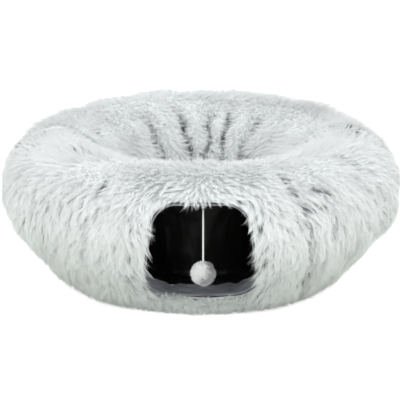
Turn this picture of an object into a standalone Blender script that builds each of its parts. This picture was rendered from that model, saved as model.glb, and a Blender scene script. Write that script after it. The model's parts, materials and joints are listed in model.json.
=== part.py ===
"""Donut cat tunnel: a plush tunnel bent into a ring round a funnel-shaped nest.

The ring is two half rings that zip together at the left and the right. Each half is a long-pile
plush cover, a wadding layer, a crackling lining and spring-wire hoops over a padded base. The front
half has the entrance, with its grey facing and a pompom on a cord. Metres, +Z up, the entrance
faces -Y, and the zips stand at +X and -X. The origin is the middle of the flat base.
"""

import math

import bmesh
import bpy
from mathutils import Matrix, Vector

# The ring and the roll that it is made of, measured to the dense level of the pile
RING_OUTER_RADIUS = 0.352
RING_HEIGHT = 0.263
ROLL_RADIUS = 0.098
WELL_FLOOR_RADIUS = 0.100
FLANK_ANGLE = math.radians(38)
FOOT_TUCK = 0.0115
PANEL_SEAM_ANGLE = math.radians(100)
SHOULDER_ANGLE = math.radians(118)

# Layers of the wall
COVER_THICKNESS = 0.016
WADDING_THICKNESS = 0.006
HOOP_WIRE_DIAMETER = 0.0032
LINING_THICKNESS = 0.0016
SEWN_GAP = 0.0003
HOOP_CHANNEL_GAP = 0.0007

# Pleats of the gathered plush in the well
PLEATS_PER_HALF = 8
PLEAT_DEPTH = 0.012
PLEAT_RUN_IN_SHARE = 0.35
PLEAT_SHARPNESS = 1.3

# How finely the soft layers are stepped
FLANK_STEPS = 4
OUTER_ROLL_STEPS = 8
INNER_ROLL_STEPS = 2
WELL_STEPS = 6
FLOOR_STEPS = 3
LAYER_STEPS = 16
PLUSH_STEPS = 3 * PLEATS_PER_HALF

# The zips between the halves
ZIP_GROOVE_WIDTH = 0.014
LAYER_END_GAP = 0.004
TAPE_DEPTH = 0.0092
TAPE_THICKNESS = 0.0012
COIL_WIDTH = 0.0018
COIL_HEIGHT = 0.0024
COIL_BRIDGE_GAP = 0.0012
ZIP_RUNNING_GAP = 0.0004
ZIP_FOOT_CLEARANCE = 0.030
ZIP_WELL_CLEARANCE = 0.045
ZIP_END_PIECE_LENGTH = 0.006
ZIP_BOX_LENGTH = 0.008
ZIP_ROLL_STEPS = 22

# The slider and its pull
SLIDER_ANGLE = math.radians(57)
SLIDER_LENGTH = 0.012
SLIDER_WIDTH = 0.0092
SLIDER_PLATE = 0.0012
SLIDER_BRIDGE_LENGTH = 0.007
PULL_PIN_DIAMETER = 0.0012
PULL_BARREL_DIAMETER = 0.0036
PULL_BARREL_WIDTH = 0.0026
PULL_LUG_THICKNESS = 0.0010
PULL_NECK_WIDTH = 0.0020
PULL_TAB_LENGTH = 0.024
PULL_TAB_WIDTH = 0.0062
PULL_TAB_THICKNESS = 0.0014
PULL_SLOT_LENGTH = 0.007
PULL_SLOT_WIDTH = 0.0026

# Hoops of spring wire
END_HOOP_SETBACK = 0.003
FRONT_HOOP_ANGLES = (math.radians(45), math.radians(135))
REAR_HOOP_ANGLES = (math.radians(45), math.radians(90), math.radians(135))

# The entrance in the front wall: a rounded trapezoid, wider at its foot
ENTRANCE_BOTTOM_WIDTH = 0.204
ENTRANCE_TOP_WIDTH = 0.158
ENTRANCE_BOTTOM_HEIGHT = 0.046
ENTRANCE_TOP_DROP = 0.039
ENTRANCE_TOP_CORNER = 0.046
ENTRANCE_BOTTOM_CORNER = 0.040
ENTRANCE_CORNER_STEPS = 6
ENTRANCE_SIDE_STEPS = 3
ENTRANCE_REACH = 0.125
FACING_THICKNESS = 0.0018
FACING_RECESS = 0.004
FACING_WIDTH = 0.058

# The toy at the entrance
TOY_OFFSET = 0.004
TOY_SETBACK = 0.030
TAB_WIDTH = 0.010
TAB_THICKNESS = 0.0016
TAB_DROP = 0.007
KNOT_DIAMETER = 0.0075
CORD_DIAMETER = 0.0032
CORD_LENGTH = 0.092
POMPOM_DIAMETER = 0.038

# The loose mat in the well
MAT_THICKNESS = 0.034
MAT_EDGE_RADIUS = 0.012
MAT_CROWN = 0.007
MAT_STEPS = 36

OVERRUN = 0.020

HUB = Vector((RING_OUTER_RADIUS - ROLL_RADIUS, RING_HEIGHT - ROLL_RADIUS))
HALF_AXIS = ZIP_GROOVE_WIDTH / 2
ENTRANCE_TOP_HEIGHT = RING_HEIGHT - ENTRANCE_TOP_DROP
LAYER_STEP_ANGLE = math.pi / LAYER_STEPS
FACET_SAG = HUB.x * (1 - math.cos(LAYER_STEP_ANGLE / 2))
WADDING_DEPTH = COVER_THICKNESS + SEWN_GAP + FACET_SAG
WIRE_DEPTH = WADDING_DEPTH + WADDING_THICKNESS + HOOP_CHANNEL_GAP + HOOP_WIRE_DIAMETER / 2
LINING_DEPTH = WIRE_DEPTH + HOOP_WIRE_DIAMETER / 2 + HOOP_CHANNEL_GAP
COIL_DEPTH = TAPE_DEPTH + TAPE_THICKNESS - COIL_HEIGHT


def clear_scene():
    for piece in list(bpy.data.objects):
        bpy.data.objects.remove(piece, do_unlink=True)


def new_collection(name):
    made = bpy.data.collections.new(name)
    bpy.context.scene.collection.children.link(made)
    return made


def material(name, colour, roughness, metallic=0.0):
    made = bpy.data.materials.new(name)
    made.use_nodes = True
    shader = made.node_tree.nodes["Principled BSDF"]
    shader.inputs["Base Color"].default_value = (*colour, 1.0)
    shader.inputs["Roughness"].default_value = roughness
    shader.inputs["Metallic"].default_value = metallic
    made.diffuse_color = (*colour, 1.0)
    return made


def mesh_object(name, shape, collection, finish=None, smooth_angle=math.radians(50)):
    """Turns a bmesh into a named object with outward faces."""
    bmesh.ops.recalc_face_normals(shape, faces=shape.faces)
    mesh = bpy.data.meshes.new(name)
    shape.to_mesh(mesh)
    shape.free()
    mesh.shade_smooth()
    mesh.set_sharp_from_angle(angle=smooth_angle)
    made = bpy.data.objects.new(name, mesh)
    collection.objects.link(made)
    if finish:
        mesh.materials.append(finish)
    return made


def mirrored(source, name, axis, finish):
    """A mirror copy of a piece across the plane square to the axis ("x" or "y")."""
    shape = bmesh.new()
    shape.from_mesh(source.data)
    flip = Vector((-1, 1, 1)) if axis == "x" else Vector((1, -1, 1))
    bmesh.ops.scale(shape, vec=flip, verts=shape.verts)
    bmesh.ops.reverse_faces(shape, faces=shape.faces)
    return mesh_object(name, shape, PARTS, finish)


def baked(piece):
    """Applies the modifiers of a piece and keeps its name and material."""
    evaluated = piece.evaluated_get(bpy.context.evaluated_depsgraph_get())
    mesh = bpy.data.meshes.new_from_object(evaluated)
    old = piece.data
    piece.modifiers.clear()
    piece.data = mesh
    bpy.data.meshes.remove(old)


def boolean(piece, other, operation):
    step = piece.modifiers.new(operation.lower(), "BOOLEAN")
    step.operation = operation
    step.solver = "EXACT"
    step.object = other
    other.hide_render = True
    other.display_type = "WIRE"
    bpy.context.view_layer.update()


def cut_with(piece, tool):
    boolean(piece, tool, "DIFFERENCE")


def united(name, pieces, finish):
    """One body from several overlapping shapes."""
    body = pieces[0]
    body.name = name
    for other in pieces[1:]:
        boolean(body, other, "UNION")
    baked(body)
    for other in pieces[1:]:
        bpy.data.objects.remove(other, do_unlink=True)
    body.data.materials.clear()
    body.data.materials.append(finish)
    body.data.shade_smooth()
    body.data.set_sharp_from_angle(angle=math.radians(40))
    return body


# The roll's outline, as stations that know their place and the way inwards


def roll_point(angle):
    return HUB + ROLL_RADIUS * Vector((math.cos(angle), math.sin(angle)))


def bezier(start, pull, end, share):
    return (1 - share) ** 2 * start + 2 * share * (1 - share) * pull + share ** 2 * end


def flank_points():
    """The outer foot, the knee where the flank's line meets the floor, and the top of the flank."""
    top = roll_point(-FLANK_ANGLE)
    knee = Vector((top.x - top.y * math.tan(FLANK_ANGLE), 0))
    foot = Vector((knee.x - FOOT_TUCK, 0))
    return foot, knee, top


def flank_curve(steps):
    """From the outer foot up to where the round roll begins."""
    foot, knee, top = flank_points()
    return [bezier(foot, knee, top, k / steps) for k in range(steps)]


def roll_curve(first, last, steps):
    return [roll_point(first + (last - first) * k / steps) for k in range(steps)]


def well_curve(steps):
    """From the shoulder down the funnel to the inner foot."""
    shoulder = roll_point(SHOULDER_ANGLE)
    fall = (shoulder.x - WELL_FLOOR_RADIUS) * math.tan(SHOULDER_ANGLE - math.radians(90))
    brow = Vector((WELL_FLOOR_RADIUS, shoulder.y - fall))
    foot = Vector((WELL_FLOOR_RADIUS, 0))
    return [bezier(shoulder, brow, foot, k / steps) for k in range(steps)]


def floor_line(steps):
    inner = Vector((WELL_FLOOR_RADIUS, 0))
    outer = flank_points()[0]
    return [inner.lerp(outer, k / steps) for k in range(steps)]


def with_reach(points):
    """Pairs each station of a closed outline with the step that takes it one metre inwards.

    The step aims at the hub of the roll, and is stretched so that both walls that meet at the
    station keep their full thickness.
    """
    stations = []
    for index, point in enumerate(points):
        before = points[index - 1]
        after = points[(index + 1) % len(points)]
        aim = (HUB - point).normalized()
        share = 1.0
        for along in (point - before, after - point):
            square = Vector((-along.y, along.x)).normalized()
            share = min(share, aim.dot(square))
        stations.append((point, aim / share))
    return stations


FLANK_END = FLANK_STEPS
SEAM_AT = FLANK_END + OUTER_ROLL_STEPS
SHOULDER_AT = SEAM_AT + INNER_ROLL_STEPS
WELL_END = SHOULDER_AT + WELL_STEPS
OUTLINE = with_reach(
    flank_curve(FLANK_STEPS)
    + roll_curve(-FLANK_ANGLE, PANEL_SEAM_ANGLE, OUTER_ROLL_STEPS)
    + roll_curve(PANEL_SEAM_ANGLE, SHOULDER_ANGLE, INNER_ROLL_STEPS)
    + well_curve(WELL_STEPS)
    + floor_line(FLOOR_STEPS)
)


def at_depth(station, depth):
    point, reach = station
    return point + reach * depth


def trimmed(stations, gap=SEWN_GAP / 2):
    """The same stretch of the outline, drawn back a little at both ends."""
    result = list(stations)
    for end, inner in ((0, 1), (-1, -2)):
        point, reach = stations[end]
        share = gap / (stations[inner][0] - point).length
        result[end] = (point.lerp(stations[inner][0], share), reach.lerp(stations[inner][1], share))
    return result


def stretch(first, last):
    return trimmed([OUTLINE[k % len(OUTLINE)] for k in range(first, last + 1)])


# Turned layers of one half ring


def half_layer(name, side, stations, outer_depth, inner_depth, steps, finish, closed=False, end_gap=None):
    """Spins a strip of the outline round half the ring: side -1 is the front half, +1 the rear."""
    shape = bmesh.new()
    pairs = []
    for station in stations:
        pair = []
        for depth in (outer_depth, inner_depth):
            place = at_depth(station, depth)
            pair.append(shape.verts.new((place.x, 0, place.y)))
        pairs.append(pair)
    for index in range(len(pairs) if closed else len(pairs) - 1):
        here = pairs[index]
        there = pairs[(index + 1) % len(pairs)]
        shape.faces.new((here[0], there[0], there[1], here[1]))
    bmesh.ops.spin(
        shape,
        geom=shape.verts[:] + shape.edges[:] + shape.faces[:],
        axis=(0, 0, 1),
        cent=(0, 0, 0),
        angle=math.pi * side,
        steps=steps,
        use_merge=False,
    )
    end_line = HALF_AXIS if end_gap is None else end_gap / 2
    for vert in shape.verts:
        at_end = abs(vert.co.y) < SEWN_GAP
        vert.co.y = side * end_line if at_end else vert.co.y + side * HALF_AXIS
    return mesh_object(name, shape, PARTS, finish)


def pleat_fold(azimuth):
    """One at the bottom of a pleat's valley, zero on its ridge."""
    wave = max(0.0, math.cos(2 * PLEATS_PER_HALF * azimuth))
    return wave ** PLEAT_SHARPNESS


def press_pleats(piece, side, stations):
    """Presses the valleys of the pleats into the outer face of the plush in the well."""
    lengths = [0.0]
    for before, after in zip(stations, stations[1:]):
        lengths.append(lengths[-1] + (after[0] - before[0]).length)
    run_in = lengths[-1] * PLEAT_RUN_IN_SHARE
    for vert in piece.data.vertices:
        across = Vector((vert.co.x, vert.co.y - side * HALF_AXIS))
        place = Vector((across.length, vert.co.z))
        nearest = min(range(len(stations)), key=lambda k: (stations[k][0] - place).length)
        if (stations[nearest][0] - place).length > SEWN_GAP / 2:
            continue
        share = min(1.0, lengths[nearest] / run_in)
        ease = share * share * (3 - 2 * share)
        azimuth = math.atan2(across.y, across.x)
        push = stations[nearest][1] * (PLEAT_DEPTH * ease * pleat_fold(azimuth))
        outward = across.normalized()
        vert.co += Vector((outward.x * push.x, outward.y * push.x, push.y))


# Wires


def wire(name, points, diameter, finish, closed=True):
    curve = bpy.data.curves.new(name, "CURVE")
    curve.dimensions = "3D"
    curve.bevel_depth = diameter / 2
    curve.bevel_resolution = 1
    curve.use_fill_caps = True
    spline = curve.splines.new("POLY")
    spline.points.add(len(points) - 1)
    for slot, point in zip(spline.points, points):
        slot.co = (*point, 1)
    spline.use_cyclic_u = closed
    made = bpy.data.objects.new(name, curve)
    PARTS.objects.link(made)
    curve.materials.append(finish)
    return made


def hoop(name, side, azimuth, finish, setback=None):
    """A closed hoop of spring wire round the roll, between the wadding and the lining."""
    points = []
    for station in OUTLINE:
        place = at_depth(station, WIRE_DEPTH)
        if setback is None:
            x = place.x * math.cos(azimuth)
            y = side * (HALF_AXIS + place.x * math.sin(azimuth))
        else:
            facet_run = HALF_AXIS - LAYER_END_GAP / 2 + place.x * math.sin(LAYER_STEP_ANGLE)
            share = (HALF_AXIS - LAYER_END_GAP / 2 + setback) / facet_run
            on_facet = place.x * (1 - share * (1 - math.cos(LAYER_STEP_ANGLE)))
            x = math.copysign(on_facet, math.cos(azimuth))
            y = side * (HALF_AXIS + setback)
        points.append((x, y, place.y))
    return wire(name, points, HOOP_WIRE_DIAMETER, finish)


# The entrance


def round_corner(corner, before, after, radius, steps):
    """Points of the arc that rounds a corner of the entrance's outline."""
    to_before = (before - corner).normalized()
    to_after = (after - corner).normalized()
    half = to_before.angle(to_after) / 2
    centre = corner + (to_before + to_after).normalized() * radius / math.sin(half)
    start = corner + to_before * radius / math.tan(half) - centre
    turn = start.angle_signed(corner + to_after * radius / math.tan(half) - centre)
    return [centre + Matrix.Rotation(-turn * k / steps, 2) @ start for k in range(steps + 1)]


def entrance_outline(grow):
    """The rounded trapezoid in the X-Z plane, grown outwards by a length."""
    low = ENTRANCE_BOTTOM_HEIGHT - grow
    high = ENTRANCE_TOP_HEIGHT + grow
    wide = ENTRANCE_BOTTOM_WIDTH / 2 + grow
    narrow = ENTRANCE_TOP_WIDTH / 2 + grow
    corners = [Vector((wide, low)), Vector((narrow, high)), Vector((-narrow, high)), Vector((-wide, low))]
    radii = [ENTRANCE_BOTTOM_CORNER, ENTRANCE_TOP_CORNER, ENTRANCE_TOP_CORNER, ENTRANCE_BOTTOM_CORNER]
    points = []
    for index, corner in enumerate(corners):
        after = corners[(index + 1) % 4]
        arc = round_corner(corner, corners[index - 1], after, radii[index] + grow, ENTRANCE_CORNER_STEPS)
        points.extend(arc)
    spaced = []
    for index, point in enumerate(points):
        after = points[(index + 1) % len(points)]
        long_side = (after - point).length > ENTRANCE_BOTTOM_CORNER
        steps = ENTRANCE_SIDE_STEPS if long_side else 1
        spaced.extend(point.lerp(after, k / steps) for k in range(steps))
    return spaced


def entrance_prism(name, grow, near, far):
    """The outline as a solid that runs along Y between two planes."""
    shape = bmesh.new()
    face = shape.faces.new([shape.verts.new((p.x, near, p.y)) for p in entrance_outline(grow)])
    grown = bmesh.ops.extrude_face_region(shape, geom=[face])["geom"]
    moved = [item for item in grown if isinstance(item, bmesh.types.BMVert)]
    bmesh.ops.translate(shape, vec=(0, far - near, 0), verts=moved)
    return mesh_object(name, shape, GUIDES)


def roll_body(name, depth):
    """The front half ring as one filled solid, at a depth under the pile."""
    shape = bmesh.new()
    section = [at_depth(station, depth) for station in OUTLINE]
    shape.faces.new([shape.verts.new((p.x, 0, p.y)) for p in section])
    bmesh.ops.spin(
        shape,
        geom=shape.verts[:] + shape.edges[:] + shape.faces[:],
        axis=(0, 0, 1),
        cent=(0, 0, 0),
        angle=-math.pi,
        steps=LAYER_STEPS,
        use_merge=False,
    )
    bmesh.ops.translate(shape, vec=(0, -HALF_AXIS, 0), verts=shape.verts)
    return mesh_object(name, shape, GUIDES)


def front_surface(x, z, depth):
    """The y of the front wall at a depth, read on the flat facets that the layers have."""
    radius = 0.0
    for before, after in zip(OUTLINE[:SEAM_AT], OUTLINE[1:SEAM_AT + 1]):
        low = at_depth(before, depth)
        high = at_depth(after, depth)
        if low.y <= z <= high.y:
            radius = low.lerp(high, (z - low.y) / (high.y - low.y)).x
    return -HALF_AXIS - math.sqrt(max(radius * radius - x * x, 0.0))


# The zips: strips that follow the outline across the seam


def zip_path():
    """The right-hand zip's line on the outline, finely stepped where the slider runs."""
    points = (
        flank_curve(FLANK_STEPS)
        + roll_curve(-FLANK_ANGLE, SHOULDER_ANGLE, ZIP_ROLL_STEPS)
        + well_curve(WELL_STEPS)
        + floor_line(FLOOR_STEPS)
    )
    stations = with_reach(points)[: FLANK_STEPS + ZIP_ROLL_STEPS + WELL_STEPS + 1]
    return stations


def run_lengths(stations):
    lengths = [0.0]
    for before, after in zip(stations, stations[1:]):
        lengths.append(lengths[-1] + (after[0] - before[0]).length)
    return lengths


def between(stations, start, end):
    """The stretch of a line of stations between two lengths along it."""
    lengths = run_lengths(stations)

    def station_at(length):
        for index in range(1, len(lengths)):
            if length <= lengths[index]:
                share = (length - lengths[index - 1]) / (lengths[index] - lengths[index - 1])
                low = stations[index - 1]
                high = stations[index]
                return low[0].lerp(high[0], share), low[1].lerp(high[1], share)
        return stations[-1]

    inside = [s for s, length in zip(stations, lengths) if start + SEWN_GAP < length < end - SEWN_GAP]
    return [station_at(start), *inside, station_at(end)]


def strip(name, stations, top_depth, bottom_depth, near, far, finish, collection=None):
    """A band that follows stations at +X, between two depths and two values of y."""
    shape = bmesh.new()
    pairs = []
    for station in stations:
        high = at_depth(station, top_depth)
        low = at_depth(station, bottom_depth)
        pairs.append((shape.verts.new((high.x, near, high.y)), shape.verts.new((low.x, near, low.y))))
    for here, there in zip(pairs, pairs[1:]):
        shape.faces.new((here[0], there[0], there[1], here[1]))
    grown = bmesh.ops.extrude_face_region(shape, geom=shape.faces[:])["geom"]
    moved = [item for item in grown if isinstance(item, bmesh.types.BMVert)]
    bmesh.ops.translate(shape, vec=(0, far - near, 0), verts=moved)
    return mesh_object(name, shape, collection or PARTS, finish)


def box(name, size, place, collection):
    shape = bmesh.new()
    bmesh.ops.create_cube(shape, size=1.0)
    bmesh.ops.scale(shape, vec=size, verts=shape.verts)
    bmesh.ops.transform(shape, matrix=place, verts=shape.verts)
    return mesh_object(name, shape, collection)


def rod(name, radius, length, place, collection, sides=16):
    """A cylinder along Y."""
    shape = bmesh.new()
    bmesh.ops.create_cone(
        shape, cap_ends=True, segments=sides, radius1=radius, radius2=radius, depth=length
    )
    bmesh.ops.rotate(shape, matrix=Matrix.Rotation(math.radians(90), 3, "X"), verts=shape.verts)
    bmesh.ops.transform(shape, matrix=place, verts=shape.verts)
    return mesh_object(name, shape, collection)


def both_sides(piece, right_name, left_name, finish):
    piece.name = right_name
    return piece, mirrored(piece, left_name, "x", finish)


def build_zip(tape_finish, coil_finish, metal_finish):
    """The zip on the right, with its mirror image on the left."""
    path = zip_path()
    total = run_lengths(path)[-1]
    start = ZIP_FOOT_CLEARANCE
    end = total - ZIP_WELL_CLEARANCE
    coil_near = COIL_BRIDGE_GAP / 2
    coil_far = coil_near + COIL_WIDTH
    tape_near = coil_far + SEWN_GAP
    tape_far = HALF_AXIS - SEWN_GAP
    coil_start = start + ZIP_BOX_LENGTH + SEWN_GAP
    coil_end = end - ZIP_END_PIECE_LENGTH - SEWN_GAP
    bottom = TAPE_DEPTH + TAPE_THICKNESS
    for half, side in (("front", -1), ("rear", 1)):
        tape = strip(
            "tape", between(path, start, end), TAPE_DEPTH, bottom, side * tape_near, side * tape_far,
            tape_finish,
        )
        both_sides(tape, f"{half}_right_zip_tape", f"{half}_left_zip_tape", tape_finish)
        coil = strip(
            "coil", between(path, coil_start, coil_end), COIL_DEPTH, bottom, side * coil_near,
            side * coil_far, coil_finish,
        )
        both_sides(coil, f"{half}_right_zip_coil", f"{half}_left_zip_coil", coil_finish)
        stop = strip(
            "stop", between(path, end - ZIP_END_PIECE_LENGTH, end), COIL_DEPTH - SLIDER_PLATE / 2, bottom,
            side * coil_near, side * coil_far, metal_finish,
        )
        both_sides(stop, f"{half}_right_zip_stop", f"{half}_left_zip_stop", metal_finish)
        end_piece = "zip_box" if side < 0 else "zip_pin"
        top = COIL_DEPTH - SLIDER_PLATE if side < 0 else COIL_DEPTH
        foot = strip(
            "foot", between(path, start, start + ZIP_BOX_LENGTH), top, bottom, side * coil_near,
            side * coil_far, metal_finish,
        )
        both_sides(foot, f"right_{end_piece}", f"left_{end_piece}", metal_finish)


def arc_stations(centre_angle, length, steps=4):
    half = length / ROLL_RADIUS / 2
    angles = [centre_angle - half + 2 * half * k / steps for k in range(steps + 1)]
    return [(roll_point(angle), Vector((-math.cos(angle), -math.sin(angle)))) for angle in angles]


def slider_frame(depth):
    """A frame on the roll at the slider: X runs along the zip uphill, Y across, Z outwards."""
    outward = Vector((math.cos(SLIDER_ANGLE), 0, math.sin(SLIDER_ANGLE)))
    uphill = Vector((-math.sin(SLIDER_ANGLE), 0, math.cos(SLIDER_ANGLE)))
    across = outward.cross(uphill)
    place = Vector((HUB.x, 0, HUB.y)) + outward * (ROLL_RADIUS - depth)
    turn = Matrix((uphill, across, outward)).transposed().to_4x4()
    return Matrix.Translation(place) @ turn


def build_slider(metal_finish):
    """A slider with two plates, a bridge between them, and lugs with a pin for its pull."""
    top_low = COIL_DEPTH - ZIP_RUNNING_GAP
    top_high = top_low - SLIDER_PLATE
    low_high = TAPE_DEPTH + TAPE_THICKNESS + ZIP_RUNNING_GAP
    low_low = low_high + SLIDER_PLATE
    plate = arc_stations(SLIDER_ANGLE, SLIDER_LENGTH)
    bridge = arc_stations(SLIDER_ANGLE, SLIDER_BRIDGE_LENGTH)
    web = COIL_BRIDGE_GAP / 2 - SEWN_GAP
    half = SLIDER_WIDTH / 2
    web_top = top_high + SLIDER_PLATE / 2
    web_foot = low_low - SLIDER_PLATE / 2
    pieces = [
        strip("top_plate", plate, top_high, top_low, -half, half, None, GUIDES),
        strip("low_plate", plate, low_high, low_low, -half, half, None, GUIDES),
        strip("web", bridge, web_top, web_foot, -web, web, None, GUIDES),
    ]
    barrel_radius = PULL_BARREL_DIAMETER / 2
    pin_depth = top_high - SEWN_GAP - barrel_radius
    lug_gap = PULL_BARREL_WIDTH / 2 + SEWN_GAP
    lug_height = top_low - pin_depth + PULL_PIN_DIAMETER
    lug_place = slider_frame(pin_depth - PULL_PIN_DIAMETER + lug_height / 2)
    lug_size = (PULL_BARREL_DIAMETER, PULL_LUG_THICKNESS, lug_height - SLIDER_PLATE / 2)
    for side in (-1, 1):
        aside = Matrix.Translation((0, side * (lug_gap + PULL_LUG_THICKNESS / 2), SLIDER_PLATE / 4))
        pieces.append(box("lug", lug_size, lug_place @ aside, GUIDES))
    pin_length = 2 * (lug_gap + PULL_LUG_THICKNESS / 2)
    pieces.append(rod("pin", PULL_PIN_DIAMETER / 2, pin_length, slider_frame(pin_depth), GUIDES, 12))
    slider = united("right_zip_slider", pieces, metal_finish)
    GUIDES.objects.unlink(slider)
    PARTS.objects.link(slider)
    mirrored(slider, "left_zip_slider", "x", metal_finish)
    return pin_depth


def build_pull(pin_depth, metal_finish):
    """The pull: a barrel on the slider's pin and a slotted tab that lies downhill on the pile."""
    frame = slider_frame(pin_depth)
    barrel = rod("barrel", PULL_BARREL_DIAMETER / 2, PULL_BARREL_WIDTH, frame, GUIDES, 20)
    bore_radius = PULL_PIN_DIAMETER / 2 + SEWN_GAP
    bore = rod("bore", bore_radius, PULL_BARREL_WIDTH + OVERRUN, frame, GUIDES, 16)
    inner = bore_radius + SEWN_GAP
    neck_length = SLIDER_LENGTH / 2
    neck_size = (neck_length, PULL_NECK_WIDTH, PULL_TAB_THICKNESS)
    neck = box("neck", neck_size, frame @ Matrix.Translation((-inner - neck_length / 2, 0, 0)), GUIDES)
    tab_start = inner + neck_length - PULL_TAB_THICKNESS
    tab_place = frame @ Matrix.Translation((-tab_start - PULL_TAB_LENGTH / 2, 0, 0))
    tab_size = (PULL_TAB_LENGTH, PULL_TAB_WIDTH, PULL_TAB_THICKNESS + SEWN_GAP)
    tab = box("tab", tab_size, tab_place, GUIDES)
    slot = box("slot", (PULL_SLOT_LENGTH, PULL_SLOT_WIDTH, PULL_TAB_THICKNESS + OVERRUN), tab_place, GUIDES)
    pull = united("right_zip_pull", [barrel, neck, tab], metal_finish)
    for tool in (bore, slot):
        cut_with(pull, tool)
    baked(pull)
    GUIDES.objects.unlink(pull)
    PARTS.objects.link(pull)
    mirrored(pull, "left_zip_pull", "x", metal_finish)


# The toy, the mat and the two halves


def build_toy(ribbon, cord_finish, pompom_finish):
    under_facing = ENTRANCE_TOP_HEIGHT - FACING_THICKNESS - SEWN_GAP
    y = front_surface(TOY_OFFSET, ENTRANCE_TOP_HEIGHT, 0.0) + TOY_SETBACK
    tab_place = Matrix.Translation((TOY_OFFSET, y, under_facing - TAB_DROP / 2))
    tab = box("toy_tab", (TAB_WIDTH, TAB_THICKNESS, TAB_DROP), tab_place, PARTS)
    tab.data.materials.append(ribbon)

    pivot = Vector((TOY_OFFSET, y, under_facing - TAB_DROP - SEWN_GAP - KNOT_DIAMETER / 2))
    shape = bmesh.new()
    bmesh.ops.create_uvsphere(shape, u_segments=16, v_segments=10, radius=KNOT_DIAMETER / 2)
    knot = mesh_object("toy_knot", shape, PARTS, cord_finish)
    knot.location = pivot

    top = pivot.z - KNOT_DIAMETER / 2 - SEWN_GAP
    steps = round(CORD_LENGTH / CORD_DIAMETER / 3)
    points = [(pivot.x, pivot.y, top - CORD_LENGTH * k / steps) for k in range(steps + 1)]
    cord = wire("toy_cord", points, CORD_DIAMETER, cord_finish, closed=False)
    cord.data.bevel_resolution = 2

    shape = bmesh.new()
    bmesh.ops.create_icosphere(shape, subdivisions=3, radius=POMPOM_DIAMETER / 2)
    pompom = mesh_object("pompom", shape, PARTS, pompom_finish)
    pompom.location = (pivot.x, pivot.y, top - CORD_LENGTH - SEWN_GAP - POMPOM_DIAMETER / 2)


def build_mat(finish):
    """A round mat with a rounded rim and a low crown, turned about the ring's axis."""
    first_ridge = math.pi / PLUSH_STEPS
    ridge = Vector((math.cos(first_ridge), math.sin(first_ridge))) * WELL_FLOOR_RADIUS
    radius = (ridge + Vector((0, HALF_AXIS))).length - SEWN_GAP / 2
    rim = radius - MAT_EDGE_RADIUS
    side_top = MAT_THICKNESS - MAT_CROWN - MAT_EDGE_RADIUS
    corner_steps = 3
    profile = [(0.0, 0.0), (rim, 0.0)]
    for base, first in ((MAT_EDGE_RADIUS, -90), (side_top, 0)):
        for k in range(corner_steps + 1):
            angle = math.radians(first + 90 * k / corner_steps)
            across = rim + MAT_EDGE_RADIUS * math.cos(angle)
            profile.append((across, base + MAT_EDGE_RADIUS * math.sin(angle)))
    crown_steps = 3
    crown_base = side_top + MAT_EDGE_RADIUS
    for k in range(1, crown_steps + 1):
        share = k / crown_steps
        profile.append((rim * (1 - share), crown_base + MAT_CROWN * math.sin(math.radians(90) * share)))
    shape = bmesh.new()
    verts = [shape.verts.new((x, 0, z)) for x, z in profile]
    edges = [shape.edges.new(pair) for pair in zip(verts, verts[1:])]
    bmesh.ops.spin(
        shape,
        geom=verts + edges,
        axis=(0, 0, 1),
        cent=(0, 0, 0),
        angle=2 * math.pi,
        steps=MAT_STEPS,
        use_merge=True,
    )
    bmesh.ops.remove_doubles(shape, verts=shape.verts, dist=SEWN_GAP / 30)
    return mesh_object("centre_mat", shape, PARTS, finish)


def build_half(half, side, finishes, hoop_angles):
    """The layers of one half ring and its hoops."""
    outer = stretch(0, SEAM_AT)
    well = stretch(SEAM_AT, WELL_END)
    floor = stretch(WELL_END, len(OUTLINE))
    outer_plush = half_layer(
        f"{half}_outer_plush", side, outer, 0.0, COVER_THICKNESS, PLUSH_STEPS, finishes["plush"]
    )
    well_plush = half_layer(
        f"{half}_well_plush", side, well, 0.0, COVER_THICKNESS, PLUSH_STEPS, finishes["plush"]
    )
    press_pleats(well_plush, side, well)
    half_layer(f"{half}_base_pad", side, floor, 0.0, COVER_THICKNESS, PLUSH_STEPS, finishes["base"])
    wadding = half_layer(
        f"{half}_wadding", side, OUTLINE, WADDING_DEPTH, WADDING_DEPTH + WADDING_THICKNESS, LAYER_STEPS,
        finishes["wadding"], closed=True, end_gap=LAYER_END_GAP,
    )
    lining = half_layer(
        f"{half}_lining", side, OUTLINE, LINING_DEPTH, LINING_DEPTH + LINING_THICKNESS, LAYER_STEPS,
        finishes["lining"], closed=True, end_gap=LAYER_END_GAP,
    )
    hoop(f"{half}_right_end_hoop", side, 0.0, finishes["wire"], END_HOOP_SETBACK)
    hoop(f"{half}_left_end_hoop", side, math.pi, finishes["wire"], END_HOOP_SETBACK)
    for number, azimuth in enumerate(hoop_angles, 1):
        hoop(f"{half}_middle_hoop_{number}", side, azimuth, finishes["wire"])
    return outer_plush, wadding, lining


def build_entrance(layers, facing_finish, wire_finish):
    """Cuts the entrance through the front wall and lines it with the facing and its hoop."""
    near = -(RING_OUTER_RADIUS + HALF_AXIS + OVERRUN)
    far = near + OVERRUN + ENTRANCE_REACH
    cutter = entrance_prism("entrance_cutter", SEWN_GAP, near, far)
    for layer in layers:
        cut_with(layer, cutter)
    hole = entrance_prism("facing_hole", -FACING_THICKNESS, near - OVERRUN, far + OVERRUN)
    facing = entrance_prism("entrance_facing", 0.0, near, far)
    cut_with(facing, hole)
    boolean(facing, roll_body("facing_reach", FACING_RECESS), "INTERSECT")
    inner_limit = roll_body("facing_inner_limit", FACING_RECESS)
    inner_limit.location.y = FACING_WIDTH
    cut_with(facing, inner_limit)
    baked(facing)
    facing.data.materials.append(facing_finish)
    GUIDES.objects.unlink(facing)
    PARTS.objects.link(facing)
    facing.hide_render = False
    behind = FACING_WIDTH - HOOP_WIRE_DIAMETER
    outline = entrance_outline(SEWN_GAP + HOOP_WIRE_DIAMETER / 2)
    points = [(p.x, front_surface(p.x, p.y, FACING_RECESS) + behind, p.y) for p in outline]
    wire("entrance_hoop", points, HOOP_WIRE_DIAMETER, wire_finish)


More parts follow.
